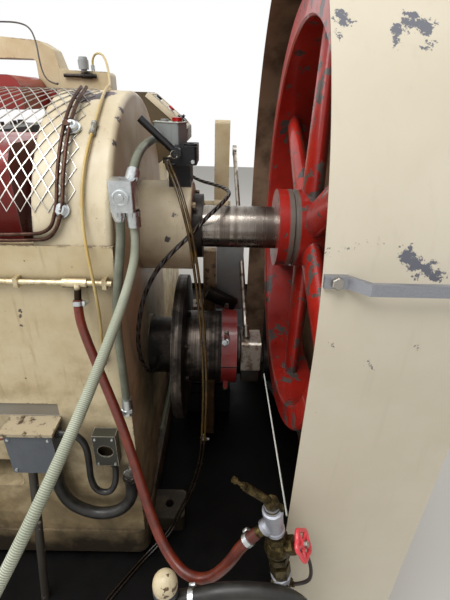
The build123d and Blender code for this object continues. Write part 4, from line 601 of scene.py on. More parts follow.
leverCableRoute = [(0.606, 0.44, 1.262), (0.606, 0.44, 1.236), (0.615, 0.414, 1.206), (0.641, 0.36, 1.186),
                   (0.686, 0.286, 1.182), (0.734, 0.202, 1.188), (0.77, 0.116, 1.194), (0.786, 0.032, 1.197),
                   (0.774, -0.045, 1.196), (0.75, -0.095, 1.182), (0.716, -0.138, 1.16), (0.676, -0.19, 1.126),
                   (0.63, -0.238, 1.094), (0.59, -0.272, 1.05), (0.562, -0.292, 0.985), (0.546, -0.3, 0.905),
                   (0.54, -0.29, 0.825), (0.542, -0.258, 0.75), (0.548, -0.212, 0.695), (0.555, -0.165, 0.662),
                   (0.556, -0.13, 0.656), (0.556, -0.1002, 0.656)]
bracketHoseRoute = [(0.32, -0.402, 0.628), (0.34, -0.402, 0.628), (0.372, -0.403, 0.624),
                    (0.396, -0.404, 0.59), (0.396, -0.403, 0.52), (0.391, -0.405, 0.45),
                    (0.402, -0.407, 0.396), (0.44, -0.406, 0.386), (0.461, -0.4, 0.42),
                    (0.463, -0.3865, 0.468), (0.463, -0.3865, 0.498)]
sumpHoseRoute = [(0.293, -0.4, 0.5), (0.293, -0.4, 0.465), (0.29, -0.402, 0.4), (0.312, -0.404, 0.33),
                 (0.385, -0.406, 0.284), (0.46, -0.404, 0.296), (0.502, -0.396, 0.345), (0.505, -0.39, 0.402),
                 (0.505, -0.39, 0.432)]
topWireRoute = [(-0.074, 0.42, 1.6173), (-0.074, 0.42, 1.64), (-0.046, 0.408, 1.664), (0.014, 0.394, 1.664),
                (0.072, 0.382, 1.662), (0.118, 0.364, 1.648), (0.14, 0.342, 1.606), (0.15, 0.318, 1.552),
                (0.172, 0.276, 1.512), (0.208, 0.216, 1.492), (0.246, 0.156, 1.484), (0.28, 0.098, 1.48),
                (0.306, 0.04, 1.482), (0.322, -0.01, 1.478)]
drainHoseRoute = [(0.704, -0.812, 0.661), (0.732, -0.812, 0.668), (0.778, -0.812, 0.688),
                  (0.84, -0.812, 0.692), (0.9, -0.812, 0.674), (0.938, -0.812, 0.624), (0.952, -0.812, 0.562),
                  (0.952, -0.812, 0.5)]
valveHoseRoute = [(0.9037, -0.756, 0.724), (0.9258, -0.7526, 0.7138), (0.942, -0.756, 0.69),
                  (0.949, -0.766, 0.662), (0.9431, -0.7732, 0.641), (0.9191, -0.766, 0.6218)]
layCord("topConduit", "conduit_top", "smoothConduitSheath", topConduitRoute, 0.0105)
layCord("downConduit", "conduit_down", "smoothConduitSheath", downConduitRoute, 0.0105)
layCord("rearConduit", "conduit_rear", "ribbedConduitSheath", rearConduitRoute, 0.0105)
layCord("coolantHose", "coolant_hose", "brownHoseRubber", coolantRoute, 0.0105)
layCord("yellowOilTube", "yellow_oil_tube", "yellowNylonTube", yellowRoute, 0.0035)
layCord("amberOilTube1", "amber_oil_tubes", "amberNylonTube", amberRoute, 0.004)
amberBeside = [(x + 0.01, y - 0.0003 * i, z) for i, (x, y, z) in enumerate(amberRoute)]
layCord("amberOilTube2", "amber_oil_tubes", "amberNylonTube", amberBeside, 0.004)
layCord("leverCable", "lever_cable", "blackCableRubber", leverCableRoute, 0.006)
layCord("bracketHose", "bracket_hose", "darkHoseRubber", bracketHoseRoute, 0.0095)
layCord("sumpHose", "sump_hose", "darkHoseRubber", sumpHoseRoute, 0.018)
layCord("topWire", "top_wire", "blackWireSheath", topWireRoute, 0.0025)
layCord("drainHose", "drain_hose", "darkHoseRubber", drainHoseRoute, 0.015)
layCord("valveHose", "valve_hose", "blackWireSheath", valveHoseRoute, 0.0035)
print("cords laid")

upwards = (0, 0, 1)


def pick(*pieces):
    # only these are selected, and the first is the active one
    bpy.ops.object.select_all(action="DESELECT")
    for piece in pieces:
        piece.select_set(True)
    bpy.context.view_layer.objects.active = pieces[0]


def setInPlace(piece):
    # the piece's place, turn and scale go into its mesh
    pick(piece)
    bpy.ops.object.transform_apply(location=True, rotation=True, scale=True)
    return piece


def joined(*pieces):
    pick(*pieces)
    if len(pieces) > 1:
        bpy.ops.object.join()
    return pieces[0]


def pickFaces(piece, wanted):
    # leaves the piece in edit mode with only the wanted faces selected
    bpy.context.view_layer.objects.active = piece
    if bpy.context.mode != "EDIT_MESH":
        bpy.ops.object.mode_set(mode="EDIT")
    bpy.ops.mesh.select_all(action="DESELECT")
    bpy.ops.object.mode_set(mode="OBJECT")
    for face in piece.data.polygons:
        face.select = wanted(face)
    bpy.ops.object.mode_set(mode="EDIT")


def turnTo(piece, place, way):
    # stands a piece that was made upright at the origin on its place, along its way
    piece.rotation_euler = Vector(way).to_track_quat("Z", "Y").to_euler()
    piece.location = place
    return setInPlace(piece)


def turned(place, way, steps, sides=32):
    # a piece as from a lathe, or a nut with 6 sides: its end face is drawn out in steps of height and radius
    bpy.ops.object.select_all(action="DESELECT")
    bpy.ops.mesh.primitive_circle_add(vertices=sides, radius=steps[0][1], fill_type="NGON",
                                      location=(0, 0, steps[0][0]))
    piece = setInPlace(bpy.context.object)
    bpy.ops.object.mode_set(mode="EDIT")
    bpy.ops.mesh.select_all(action="SELECT")
    for (low, wide), (high, narrow) in zip(steps, steps[1:]):
        bpy.ops.mesh.extrude_region_move(TRANSFORM_OT_translate={"value": (0, 0, high - low)})
        bpy.ops.transform.resize(value=(narrow / wide, narrow / wide, 1), center_override=(0, 0, high))
    bpy.ops.object.mode_set(mode="OBJECT")
    return turnTo(piece, place, way)


def bevelled(piece, width, segments=2):
    # edges eased by a modifier, and the piece's place set into its mesh
    setInPlace(piece)
    edge = piece.modifiers.new("easedEdges", "BEVEL")
    edge.width = width
    edge.segments = segments
    edge.limit_method = "ANGLE"
    bpy.ops.object.modifier_apply(modifier=edge.name)
    return piece


def slab(low, high, width=0.002, turn=(0, 0, 0)):
    # a block between two corners with eased edges, turned about its middle
    bpy.ops.object.select_all(action="DESELECT")
    middle = [(a + b) / 2 for a, b in zip(low, high)]
    bpy.ops.mesh.primitive_cube_add(size=1, location=middle, rotation=[math.radians(t) for t in turn])
    piece = bpy.context.object
    piece.scale = [b - a for a, b in zip(low, high)]
    return bevelled(piece, width)


def stepped(piece, leastArea, steps):
    # the piece's upper face is set in by each step's width and then raised or sunk
    pickFaces(piece, lambda face: face.normal.z > 0.9 and face.area > leastArea)
    for width, rise in steps:
        bpy.ops.mesh.inset(thickness=width)
        bpy.ops.mesh.extrude_region_move(TRANSFORM_OT_translate={"value": (0, 0, rise)})
    bpy.ops.object.mode_set(mode="OBJECT")
    return piece


def ringBand(place, way, radius, thick, sides=40):
    # a round wire or band about its middle
    bpy.ops.object.select_all(action="DESELECT")
    bpy.ops.mesh.primitive_torus_add(major_radius=radius, minor_radius=thick, major_segments=sides,
                                     minor_segments=8)
    return turnTo(bpy.context.object, place, way)


def copied(model, place, way):
    # another of a piece that was made upright at the origin
    twin = model.copy()
    twin.data = model.data.copy()
    bpy.context.collection.objects.link(twin)
    return turnTo(twin, place, way)


def settle(name, pieces, finish, body="frame", replaced=(), smooth=35):
    # one object of all its parts: normals outwards, finish, body and slot
    whole = joined(*pieces)
    bpy.ops.object.mode_set(mode="EDIT")
    bpy.ops.mesh.select_all(action="SELECT")
    bpy.ops.mesh.normals_make_consistent(inside=False)
    bpy.ops.object.mode_set(mode="OBJECT")
    bpy.ops.object.shade_smooth_by_angle(angle=math.radians(smooth))
    whole.name = name
    whole.data.materials.clear()
    whole.data.materials.append(finishes[finish])
    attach(whole, body)
    if replaced:
        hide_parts(*replaced)
    return whole


def turnedPiece(name, parts, finish, body="frame"):
    # one object of turned parts, each with its place, way and steps, and its sides where they aren't 32
    pieces = [turned(part["place"], part["way"], part["steps"], part.get("sides", 32)) for part in parts]
    return settle(name, pieces, finish, body)


def slabPiece(name, block, finish, body="frame"):
    # one object of a single block, given by its corners and the width of its eased edges
    return settle(name, [slab(block["low"], block["high"], block["edge"], block.get("turn", (0, 0, 0)))],
                  finish, body)


# a bolt's washer and head, in shares of its width across flats
bolt = {"washerHigh": 0.11, "washerWide": 0.62, "headWide": 0.577, "shoulder": 0.66, "top": 0.74,
        "topWide": 0.50}


def boltRow(name, places, across, finish, body="frame", sides=6):
    # bolt heads on washers, one made and the rest copied; each stands on its point along its way
    high, wide, head = bolt["washerHigh"] * across, bolt["washerWide"] * across, bolt["headWide"] * across
    washer = turned((0, 0, 0), upwards, ((0, wide), (high, wide)), 24)
    model = turned((0, 0, 0), upwards, ((high, head), (bolt["shoulder"] * across, head),
                                        (bolt["top"] * across, bolt["topWide"] * across)), sides)
    model = joined(model, washer)
    heads = [copied(model, place, way) for place, way in places]
    bpy.data.objects.remove(model)
    return settle(name, heads, finish, body)


def screwRow(name, places, across, body="frame", sides=6):
    # zinc-plated heads, hexagonal or nearly round
    return boltRow(name, places, across, "galvanisedSheet", body, sides)


# expanded sheet over the crank bay: diamonds 29 mm along the crank and 47 mm round it, cut off at its edges
meshSheet = {"radius": 0.3688, "half": 0.446, "from": 20, "to": 89, "columns": 30, "rows": 9,
             "strand": 0.0024, "thick": 0.0018}
spread = math.radians(meshSheet["to"] - meshSheet["from"])
sheetLength = spread * meshSheet["radius"]
bpy.ops.object.select_all(action="DESELECT")
bpy.ops.mesh.primitive_grid_add(x_subdivisions=meshSheet["columns"], y_subdivisions=meshSheet["rows"], size=1,
                                rotation=(math.radians(90), 0, 0))
sheet = bpy.context.object
sheet.scale = (2 * meshSheet["half"], sheetLength, 1)
setInPlace(sheet)
bpy.ops.object.mode_set(mode="EDIT")
bpy.ops.mesh.select_all(action="SELECT")
bpy.ops.mesh.poke()
bpy.ops.object.mode_set(mode="OBJECT")
bpy.context.tool_settings.mesh_select_mode = (False, True, False)
rimX = meshSheet["half"] - 1e-4
rimZ = sheetLength / 2 - 1e-4
points = [Vector(point.co) for point in sheet.data.vertices]
for part in (sheet.data.vertices, sheet.data.polygons, sheet.data.edges):
    for item in part:
        item.select = False
for edge in sheet.data.edges:
    a, b = (points[i] for i in edge.vertices)
    square = abs(a.x - b.x) < 1e-5 or abs(a.z - b.z) < 1e-5
    onRim = min(abs(a.x), abs(b.x)) > rimX or min(abs(a.z), abs(b.z)) > rimZ
    edge.select = square and not onRim
bpy.ops.object.mode_set(mode="EDIT")
bpy.ops.mesh.dissolve_edges(use_verts=False, use_face_split=False)
bpy.context.tool_settings.mesh_select_mode = (False, False, True)
pickFaces(sheet, lambda face: len(face.vertices) == 3)
bpy.ops.mesh.delete(type="FACE")
bpy.ops.mesh.select_all(action="SELECT")
bpy.ops.mesh.inset(thickness=meshSheet["strand"] / 2, use_individual=True)
bpy.ops.mesh.delete(type="FACE")
bpy.ops.object.mode_set(mode="OBJECT")
wall = sheet.modifiers.new("sheetThickness", "SOLIDIFY")
wall.thickness = meshSheet["thick"]
wall.offset = 0
bpy.ops.object.modifier_apply(modifier=wall.name)
bend = sheet.modifiers.new("rolled", "SIMPLE_DEFORM")
bend.deform_method = "BEND"
bend.deform_axis = "X"
bend.angle = spread
bpy.ops.object.modifier_apply(modifier=bend.name)
sheet.location = (0, -meshSheet["radius"], 0)
setInPlace(sheet)
sheet.rotation_euler = (-math.radians((meshSheet["from"] + meshSheet["to"]) / 2), 0, 0)
sheet.location = (0, 0, 1.1)
setInPlace(sheet)
settle("expandedMeshGuard", [sheet], "galvanisedMesh", replaced=["mesh_guard"], smooth=20)
print("mesh guard:", len(sheet.data.polygons), "faces")

# clamps that hold the expanded sheet to its pipe, and the clear joint of the yellow tube
meshClamp = {"radius": 0.372, "places": ((0.426, 51), (0.417, 21)),
             "steps": ((0, 0.011), (0.003, 0.0135), (0.010, 0.0135), (0.013, 0.010), (0.013, 0.005),
                       (0.019, 0.0045))}
clamps = []
for x, angle in meshClamp["places"]:
    turn = math.radians(angle)
    clamps.append(turned(onArc(x, angle, meshClamp["radius"]), (0, -math.cos(turn), math.sin(turn)),
                         meshClamp["steps"]))
settle("meshClamps", clamps, "galvanisedSheet")
tubeJoint = {"place": (0.4742, -0.2240, 1.4020), "way": (-0.07, -0.72, -0.69),
             "steps": ((0, 0.005), (0.002, 0.0072), (0.009, 0.0072), (0.0095, 0.006), (0.026, 0.006),
                       (0.0265, 0.0072), (0.034, 0.0072), (0.036, 0.005))}
turnedPiece("tubeJoint", [tubeJoint], "clearJoint")

# lubricator and tee on the bridge
lubricatorCup = {"place": (0.277, 0.371, 1.521), "way": upwards,
                 "steps": ((0, 0.006), (0.004, 0.010), (0.010, 0.010), (0.0105, 0.0165), (0.030, 0.0175),
                           (0.038, 0.0175), (0.0385, 0.0150), (0.0460, 0.0140), (0.0480, 0.0120))}
turnedPiece("lubricatorCup", [lubricatorCup], "greyHammerEnamel")
bridgeTee = [
    {"place": (0.205, 0.3715, 1.512), "way": (1, 0, 0), "sides": 24,
     "steps": ((0, 0.0055), (0.060, 0.0055), (0.061, 0.0085), (0.098, 0.0085), (0.099, 0.0060),
               (0.112, 0.0055))},
    {"place": (0.277, 0.3715, 1.505), "way": upwards, "sides": 6,
     "steps": ((0, 0.008), (0.004, 0.0095), (0.016, 0.0095), (0.017, 0.007))},
    {"place": (0.245, 0.380, 1.452), "way": (0, -1, 0), "sides": 24,
     "steps": ((0, 0.012), (0.008, 0.012), (0.012, 0.008), (0.016, 0.007))}]
turnedPiece("bridgeTee", bridgeTee, "oilyCastIron")

# console: pressed cream frame on the slope, with its skirt, screws, display and collars
console = {"centre": (0.5575, 0.48, 1.4105), "slope": (-0.775, 0, 0.632), "outwards": (0.632, 0, 0.775),
           "frameLow": (-0.086, -0.075, 0), "frameHigh": (0.086, 0.075, 0.0024), "frameEdge": 0.0008,
           "frameSteps": ((0.006, 0.0016), (0.0022, -0.0022)),
           "skirtLow": (-0.091, -0.0825, -0.018), "skirtHigh": (0.091, -0.0795, 0.0015),
           "screwAlong": 0.080, "screwAcross": 0.069, "rise": 0.002,
           "displayLow": (-0.016, -0.020, 0), "displayHigh": (0.016, 0.020, 0.004),
           "displaySteps": ((0.003, -0.0016),), "displayAt": (-0.052, 0.048),
           "collar": ((0, 0.0155), (0.003, 0.0155), (0.0045, 0.0140), (0.0045, 0.0115)), "collarRise": 0.0014}
centre, slope, outwards = (Vector(console[key]) for key in ("centre", "slope", "outwards"))


def ontoSlope(piece, along=0.0, across=0.0, rise=0.0):
    # lays a piece made flat at the origin on the console's slope
    spot = centre + slope * along + Vector((0, across, 0)) + outwards * rise
    turn = Matrix((slope, Vector((0, 1, 0)), outwards)).transposed().to_4x4()
    piece.matrix_world = Matrix.Translation(spot) @ turn
    return setInPlace(piece)


framePlate = slab(console["frameLow"], console["frameHigh"], console["frameEdge"])
stepped(framePlate, 0.01, console["frameSteps"])
skirt = slab(console["skirtLow"], console["skirtHigh"], 0.001)
settle("consoleFrame", [ontoSlope(framePlate), ontoSlope(skirt)], "creamConsole")
screwSteps = ((0, 0.0038), (0.0014, 0.0036), (0.0022, 0.0022))
screws = [ontoSlope(turned((0, 0, 0), upwards, screwSteps, 16), along * console["screwAlong"],
                    across * console["screwAcross"], console["rise"])
          for along in (-1, 1) for across in (-1, 1)]
settle("consoleScrews", screws, "galvanisedSheet")
display = stepped(slab(console["displayLow"], console["displayHigh"], 0.0012), 0.001, console["displaySteps"])
settle("consoleDisplay", [ontoSlope(display, *console["displayAt"], console["rise"])], "blackMouldedPlastic")
for number, name in enumerate(("start_button", "stop_button", "selector")):
    low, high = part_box(name)
    middle = (Vector(low) + Vector(high)) / 2 - centre
    spot = centre + slope * middle.dot(slope) + Vector((0, middle.y, 0)) + outwards * console["collarRise"]
    collar = {"place": spot, "way": outwards, "sides": 24, "steps": console["collar"]}
    turnedPiece("buttonCollar" + str(number + 1), [collar], "galvanisedSheet")
print("console details made")

# push box: pale lid with its rim, screws and the mushroom's collar
pushBox = {"place": (0.612, 0.020, 1.391), "turn": -30, "lidLow": (-0.0435, -0.024, 0),
           "lidHigh": (0.0435, 0.024, 0.003), "lidEdge": 0.0009, "lidSteps": ((0.0035, -0.0012),),
           "screwX": 0.037, "screwY": 0.0175, "collarAt": (0.024, 0, 0.0015),
           "collar": ((0, 0.0135), (0.003, 0.0135), (0.004, 0.0115))}


def ontoPushBox(piece):
    # turns a piece made at the origin with the push box's lid
    turn = Matrix.Rotation(math.radians(pushBox["turn"]), 4, "Z")
    piece.matrix_world = Matrix.Translation(pushBox["place"]) @ turn
    return setInPlace(piece)


lid = stepped(slab(pushBox["lidLow"], pushBox["lidHigh"], pushBox["lidEdge"]), 0.002, pushBox["lidSteps"])
settle("pushBoxLid", [ontoPushBox(lid)], "paleLid")
lidScrews = [ontoPushBox(turned((x, y, 0.002), upwards, screwSteps, 16))
             for x in (-pushBox["screwX"], pushBox["screwX"]) for y in (-pushBox["screwY"], pushBox["screwY"])]
lidScrews.append(ontoPushBox(turned(pushBox["collarAt"], upwards, pushBox["collar"], 24)))
settle("pushBoxScrews", lidScrews, "galvanisedSheet")

# lever: wire ring at its hub, and the screws of its box
leverRing = {"place": (0.636, -0.1190, 1.3230), "way": (0.55, -0.8, 0.25), "radius": 0.0095, "thick": 0.0012}
settle("leverRing", [ringBand(**leverRing)], "groundSteel", "hand_lever")
screwRow("leverBoxBolts", [((x, -0.0600, 1.2975), (0, -1, 0)) for x in (0.612, 0.680)], 0.009)
print("lever details made")

# outlet body above the conduits: screwed cover, nuts and gland rings
outletPlug = {"place": (0.554, -0.3765, 1.268), "way": (0, -1, 0),
              "steps": ((0, 0.0172), (0.0015, 0.0172), (0.0022, 0.0160), (0.0022, 0.0135), (0.0012, 0.0130),
                        (0.0012, 0.0080), (0.0030, 0.0072), (0.0032, 0.0030))}
glandPlaces = (((0.568, -0.331, 1.2885), (0, 0.55, 0.33), 0.0165),
               ((0.541, -0.348, 1.236), (0, 0, -1), 0.0160), ((0.572, -0.348, 1.236), (0, 0, -1), 0.0160),
               ((0.520, -0.388, 0.700), upwards, 0.0165), ((0.02, -0.375, 0.262), (0, -1, 0), 0.0165))
glands = [turned(**outletPlug)]
for place, way, radius in glandPlaces:
    glands.append(turned(place, way, ((0, radius), (0.010, radius), (0.0115, 0.9 * radius)), 6))
    middle = Vector(place) + Vector(way).normalized() * 0.0115
    glands.append(turned(middle, way, ((0, 0.82 * radius), (0.004, 0.86 * radius), (0.010, 0.80 * radius),
                                       (0.013, 0.70 * radius)), 24))
settle("conduitGlands", glands, "galvanisedSheet")
print("conduit glands made")

# junction and bracket boxes: lid screws, glands of the hoses
boxScrews = {"junctionScrews": {"face": -0.430, "xs": (0.201, 0.309), "zs": (0.514, 0.630), "across": 0.007},
             "bracketScrews": {"face": -0.400, "xs": (0.422, 0.470), "zs": (0.508, 0.604), "across": 0.006}}
for name, box in boxScrews.items():
    screwRow(name, [((x, box["face"], z), (0, -1, 0)) for x in box["xs"] for z in box["zs"]], box["across"],
             sides=16)
boxGlands = [
    {"place": (0.316, -0.402, 0.628), "way": (1, 0, 0), "sides": 6,
     "steps": ((0, 0.0135), (0.012, 0.0135), (0.014, 0.0115))},
    {"place": (0.293, -0.400, 0.503), "way": (0, 0, -1), "sides": 6,
     "steps": ((0, 0.0225), (0.012, 0.0225), (0.014, 0.0190))},
    {"place": (0.463, -0.3865, 0.502), "way": (0, 0, -1), "sides": 6,
     "steps": ((0, 0.0135), (0.014, 0.0135), (0.016, 0.0115))},
    {"place": (0.505, -0.3900, 0.453), "way": (0, 0, -1), "sides": 6,
     "steps": ((0, 0.0215), (0.004, 0.0235), (0.018, 0.0235), (0.022, 0.0200), (0.034, 0.0195))}]
turnedPiece("boxGlands", boxGlands, "oiledSteel")


def wormClamp(name, place, way, radius):
    # worm-drive clamp on a hose or pipe: a band with its housing and screw
    outer = radius + 0.0012
    band = turned((0, 0, -0.0055), upwards, ((0, radius), (0.0005, outer), (0.0105, outer), (0.011, radius)))
    housing = slab((radius, -0.007, -0.006), (radius + 0.006, 0.007, 0.006), 0.0014)
    screw = turned((radius + 0.004, -0.007, 0), (0, -1, 0), ((0, 0.0035), (0.004, 0.0035), (0.005, 0.0045),
                                                             (0.009, 0.0045)), 6)
    settle(name, [turnTo(joined(band, housing, screw), place, way)], "galvanisedSheet")


wormClamp("hoseClampTop", (0.4400, -0.3990, 1.0330), (0, -0.25, -0.95), 0.0115)
wormClamp("hoseClampLow", (0.8240, -0.7632, 0.7586), (0.6, 0.05, 0.78), 0.0118)
wormClamp("drainClamp", (0.7260, -0.8120, 0.6665), (1, 0, 0.24), 0.0155)
wormClamp("amberClamp", (0.7150, -0.2325, 0.4420), (-0.2, -0.1, -1), 0.0080)
print("clamps made")

# oil drain: cream mushroom knob with its black band over the standpipe
drainKnob = {"place": (0.680, -0.812, 0.697), "way": upwards,
             "steps": ((0, 0.0190), (0.003, 0.0215), (0.012, 0.0220), (0.022, 0.0205), (0.030, 0.0165),
                       (0.036, 0.0105), (0.038, 0.004))}
drainKnobBand = {"place": (0.680, -0.812, 0.680), "way": upwards,
                 "steps": ((0, 0.0195), (0.002, 0.0225), (0.015, 0.0225), (0.017, 0.0195))}
turnedPiece("drainKnob", [drainKnob], "paleKnob")
turnedPiece("drainKnobBand", [drainKnobBand], "blackMouldedPlastic")

# valve: die-cast coupling, and petcock
valveUp = Vector((-0.162, 0, 0.987)).normalized()
valveFoot = Vector((0.902, -0.760, 0.588))
valveCoupling = [
    {"place": valveFoot + valveUp * 0.193, "way": valveUp,
     "steps": ((0, 0.0150), (0.003, 0.0175), (0.010, 0.0175), (0.012, 0.0160), (0.040, 0.0165),
               (0.052, 0.0180), (0.060, 0.0180), (0.062, 0.0150), (0.070, 0.0130))},
    {"place": valveFoot + valveUp * 0.222, "way": (-26, -2, -30), "sides": 24,
     "steps": ((0, 0.0120), (0.014, 0.0125), (0.016, 0.0145), (0.024, 0.0145), (0.026, 0.0115))},
    {"place": valveFoot + valveUp * 0.002, "way": valveUp, "sides": 8,
     "steps": ((0, 0.0205), (0.003, 0.0225), (0.026, 0.0225), (0.029, 0.0190), (0.034, 0.0175),
               (0.046, 0.0175), (0.049, 0.0200), (0.060, 0.0200), (0.062, 0.0170))}]
petcock = [
    {"place": valveFoot + valveUp * 0.270 + Vector((-0.046, 0, 0.040)), "way": (-0.75, 0, 0.66), "sides": 12,
     "steps": ((0, 0.0055), (0.006, 0.0055), (0.0065, 0.0035), (0.020, 0.0030), (0.021, 0.0055),
               (0.027, 0.0055))},
    {"place": valveFoot + valveUp * 0.262, "way": valveUp, "sides": 8,
     "steps": ((0, 0.0100), (0.004, 0.0125), (0.014, 0.0125), (0.018, 0.0090))}]
turnedPiece("valveCoupling", valveCoupling, "dullFlatSteel")
turnedPiece("petcock", petcock, "castBrass")

# handwheel of the valve: five spokes, and five scallops round its rim, as for wet hands
handwheel = {"radius": 0.0225, "thick": 0.0042, "scallops": 5, "swell": 0.085,
             "spoke": ((0.005, 0.0042), (0.010, 0.0030), (0.018, 0.0030), (0.0235, 0.0042)),
             "hub": ((0, 0.0075), (0.008, 0.0085), (0.0095, 0.0070)),
             "nut": ((0, 0.0060), (0.005, 0.0060), (0.006, 0.0050))}
wheelWay = Vector((0.79, -0.27, 0.557)).normalized()
wheelPlace = Vector((0.9186, -0.7740, 0.7649))
bpy.ops.object.select_all(action="DESELECT")
bpy.ops.mesh.primitive_torus_add(major_radius=handwheel["radius"], minor_radius=handwheel["thick"],
                                 major_segments=60, minor_segments=12)
wheelRim = bpy.context.object
for point in wheelRim.data.vertices:
    turn = math.atan2(point.co.y, point.co.x)
    swell = 1 + handwheel["swell"] * math.cos(handwheel["scallops"] * turn)
    point.co.x *= swell
    point.co.y *= swell
wheelParts = [wheelRim]
for i in range(handwheel["scallops"]):
    turn = math.radians(72 * i)
    wheelParts.append(turned((0, 0, 0), (math.cos(turn), math.sin(turn), 0), handwheel["spoke"], 12))
wheelParts.append(turned((0, 0, -0.005), upwards, handwheel["hub"], 24))
settle("scallopedHandwheel", [turnTo(joined(*wheelParts), wheelPlace, wheelWay)], "redWheelEnamel",
       "valve_wheel", ["valve_wheel"])
handwheelNut = {"place": wheelPlace + wheelWay * 0.0042, "way": wheelWay, "sides": 6,
                "steps": handwheel["nut"]}
turnedPiece("handwheelNut", [handwheelNut], "groundSteel", "valve_wheel")
print("valve details made")

# split collar: silver clamp bolts; and the bolts of the shaft's disc
boltRow("collarBolts", [((0.786, side * 0.096, 0.656 + end * 0.110), (0, 0, end)) for side in (-1, 1)
                        for end in (-1, 1)], 0.014, "groundSteel", "lower_shaft")
screwRow("collarPinch", [((0.7835, -0.1065, z), (-0.3, -0.9, 0.3)) for z in (0.655, 0.742)], 0.019,
         "lower_shaft")
feedBlockFoot = {"low": (0.840, -0.084, 0.560), "high": (0.902, 0.004, 0.607), "edge": 0.002}
slabPiece("feedBlockFoot", feedBlockFoot, "oilyCastIron", "feed_rod")
rodFerrule = {"place": (0.8560, -0.0440, 0.7240), "way": (-0.005, 0.024, 0.060), "sides": 24,
              "steps": ((0, 0.0105), (0.002, 0.0120), (0.016, 0.0120), (0.018, 0.0100), (0.038, 0.0100),
                        (0.040, 0.0080))}
turnedPiece("rodFerrule", [rodFerrule], "groundSteel", "feed_rod")
discPlaces = [((0.6475, 0.128 * math.cos(a), 0.656 + 0.128 * math.sin(a)), (1, 0, 0))
              for a in (math.radians(30 + 60 * i) for i in range(6))]
boltRow("discBolts", discPlaces, 0.018, "oiledSteel", "lower_shaft")
print("shaft bolts made")

# guard: cap screws round the side plate, and the bolts of the handle
guardScrews = {"x": 1.155, "radius": 0.690, "first": -18, "step": 18, "count": 13, "centre": 1.1,
               "straightY": 0.69, "straightZ": (0.10, 0.35, 0.60, 0.85), "across": 0.010}
places = []
for i in range(guardScrews["count"]):
    turn = math.radians(guardScrews["first"] + guardScrews["step"] * i)
    places.append(((guardScrews["x"], guardScrews["radius"] * math.cos(turn),
                    guardScrews["centre"] + guardScrews["radius"] * math.sin(turn)), (1, 0, 0)))
places += [((guardScrews["x"], side * guardScrews["straightY"], z), (1, 0, 0)) for side in (-1, 1)
           for z in guardScrews["straightZ"]]
screwRow("sidePlateScrews", places, guardScrews["across"], sides=16)
boltRow("handleBolts", [((x, -0.7090, 1.2400), (0, -0.98, 0.196)) for x in (0.9205, 1.1370)], 0.015,
        "groundSteel")

# bridge, housings and covers: flange bolts as on the photograph's side, repeated behind
bridgeBolts = [((x, y, 1.322), (0, way, 0)) for x in (-0.335, 0.335) for y, way in ((0.380, -1), (0.460, 1))]
boltRow("bridgeBolts", bridgeBolts, 0.018, "oiledSteel")
housingBolts = [((side * 0.677, 0.118 * math.cos(a), 1.1 + 0.118 * math.sin(a)), (side, 0, 0))
                for side in (-1, 1) for a in (math.radians(45 + 90 * i) for i in range(4))]
boltRow("housingBolts", housingBolts, 0.016, "creamBoltEnamel")
boltRow("feedBoxBolts", [((x, y, 1.225), upwards) for x in (0.000, 0.160) for y in (1.62, 1.68, 1.74)], 0.014,
        "creamBoltEnamel")
print("frame bolts made")

# feed post behind the shaft, with its plate and rack
feedPost = {"low": (0.694, 0.192, 0.012), "high": (0.743, 0.240, 0.946), "edge": 0.003}
feedPlate = {"low": (0.744, 0.196, 0.700), "high": (0.846, 0.204, 1.010), "edge": 0.0015}
feedRack = {"low": (0.706, 0.140, 0.744), "high": (0.826, 0.172, 0.790), "edge": 0.002, "turn": (0, 26, 0)}
slabPiece("feedPost", feedPost, "rustyCream")
slabPiece("feedPlate", feedPlate, "greyHammerEnamel")
slabPiece("feedRack", feedRack, "oilyCastIron")
print("feed post made")

# small tubes: grey drip tube beside the bed, slender pale rod by the wheel, and the junction box's lead
dripTube = {"place": (0.600, -0.083, 0.575), "way": (-0.045, -0.038, -0.21), "sides": 24,
            "steps": ((0, 0.0060), (0.002, 0.0075), (0.205, 0.0075), (0.207, 0.0090), (0.220, 0.0090))}
paleRod = {"place": (0.910, -0.169, 0.662), "way": (0, -0.511, 0.039), "sides": 16,
           "steps": ((0, 0.0020), (0.512, 0.0020))}
junctionWire = {"place": (0.184, -0.400, 0.600), "way": (-1, 0, -0.12), "sides": 16,
                "steps": ((0, 0.0030), (0.30, 0.0030))}
turnedPiece("dripTube", [dripTube], "smoothConduitSheath")
turnedPiece("paleRod", [paleRod], "paleLid")
turnedPiece("junctionWire", [junctionWire], "brownHoseRubber")

# motor: cooling ribs, terminal box and the fan grille
motor = {"axis": (0, 0.480, 0.250), "ribs": 24, "ribLow": (0.540, -0.0025, 0.112),
         "ribHigh": (0.790, 0.0025, 0.126), "ribEdge": 0.001, "boxLow": (0.620, 0.430, 0.368),
         "boxHigh": (0.720, 0.530, 0.412), "boxEdge": 0.004,
         "grillePlace": (0.5175, 0.480, 0.250), "grilleRadii": (0.03, 0.05, 0.07, 0.09, 0.108),
         "grilleThick": 0.0022}
ribs = []
for i in range(motor["ribs"]):
    rib = slab(motor["ribLow"], motor["ribHigh"], motor["ribEdge"])
    rib.rotation_euler = (math.radians(15 * i), 0, 0)
    rib.location = motor["axis"]
    ribs.append(setInPlace(rib))
ribs.append(slab(motor["boxLow"], motor["boxHigh"], motor["boxEdge"]))
settle("motorRibs", ribs, "blackEnamelCasing")
grille = [ringBand(motor["grillePlace"], (-1, 0, 0), radius, motor["grilleThick"])
          for radius in motor["grilleRadii"]]
settle("fanGrille", grille, "blackEnamelCasing")
print("motor details made")

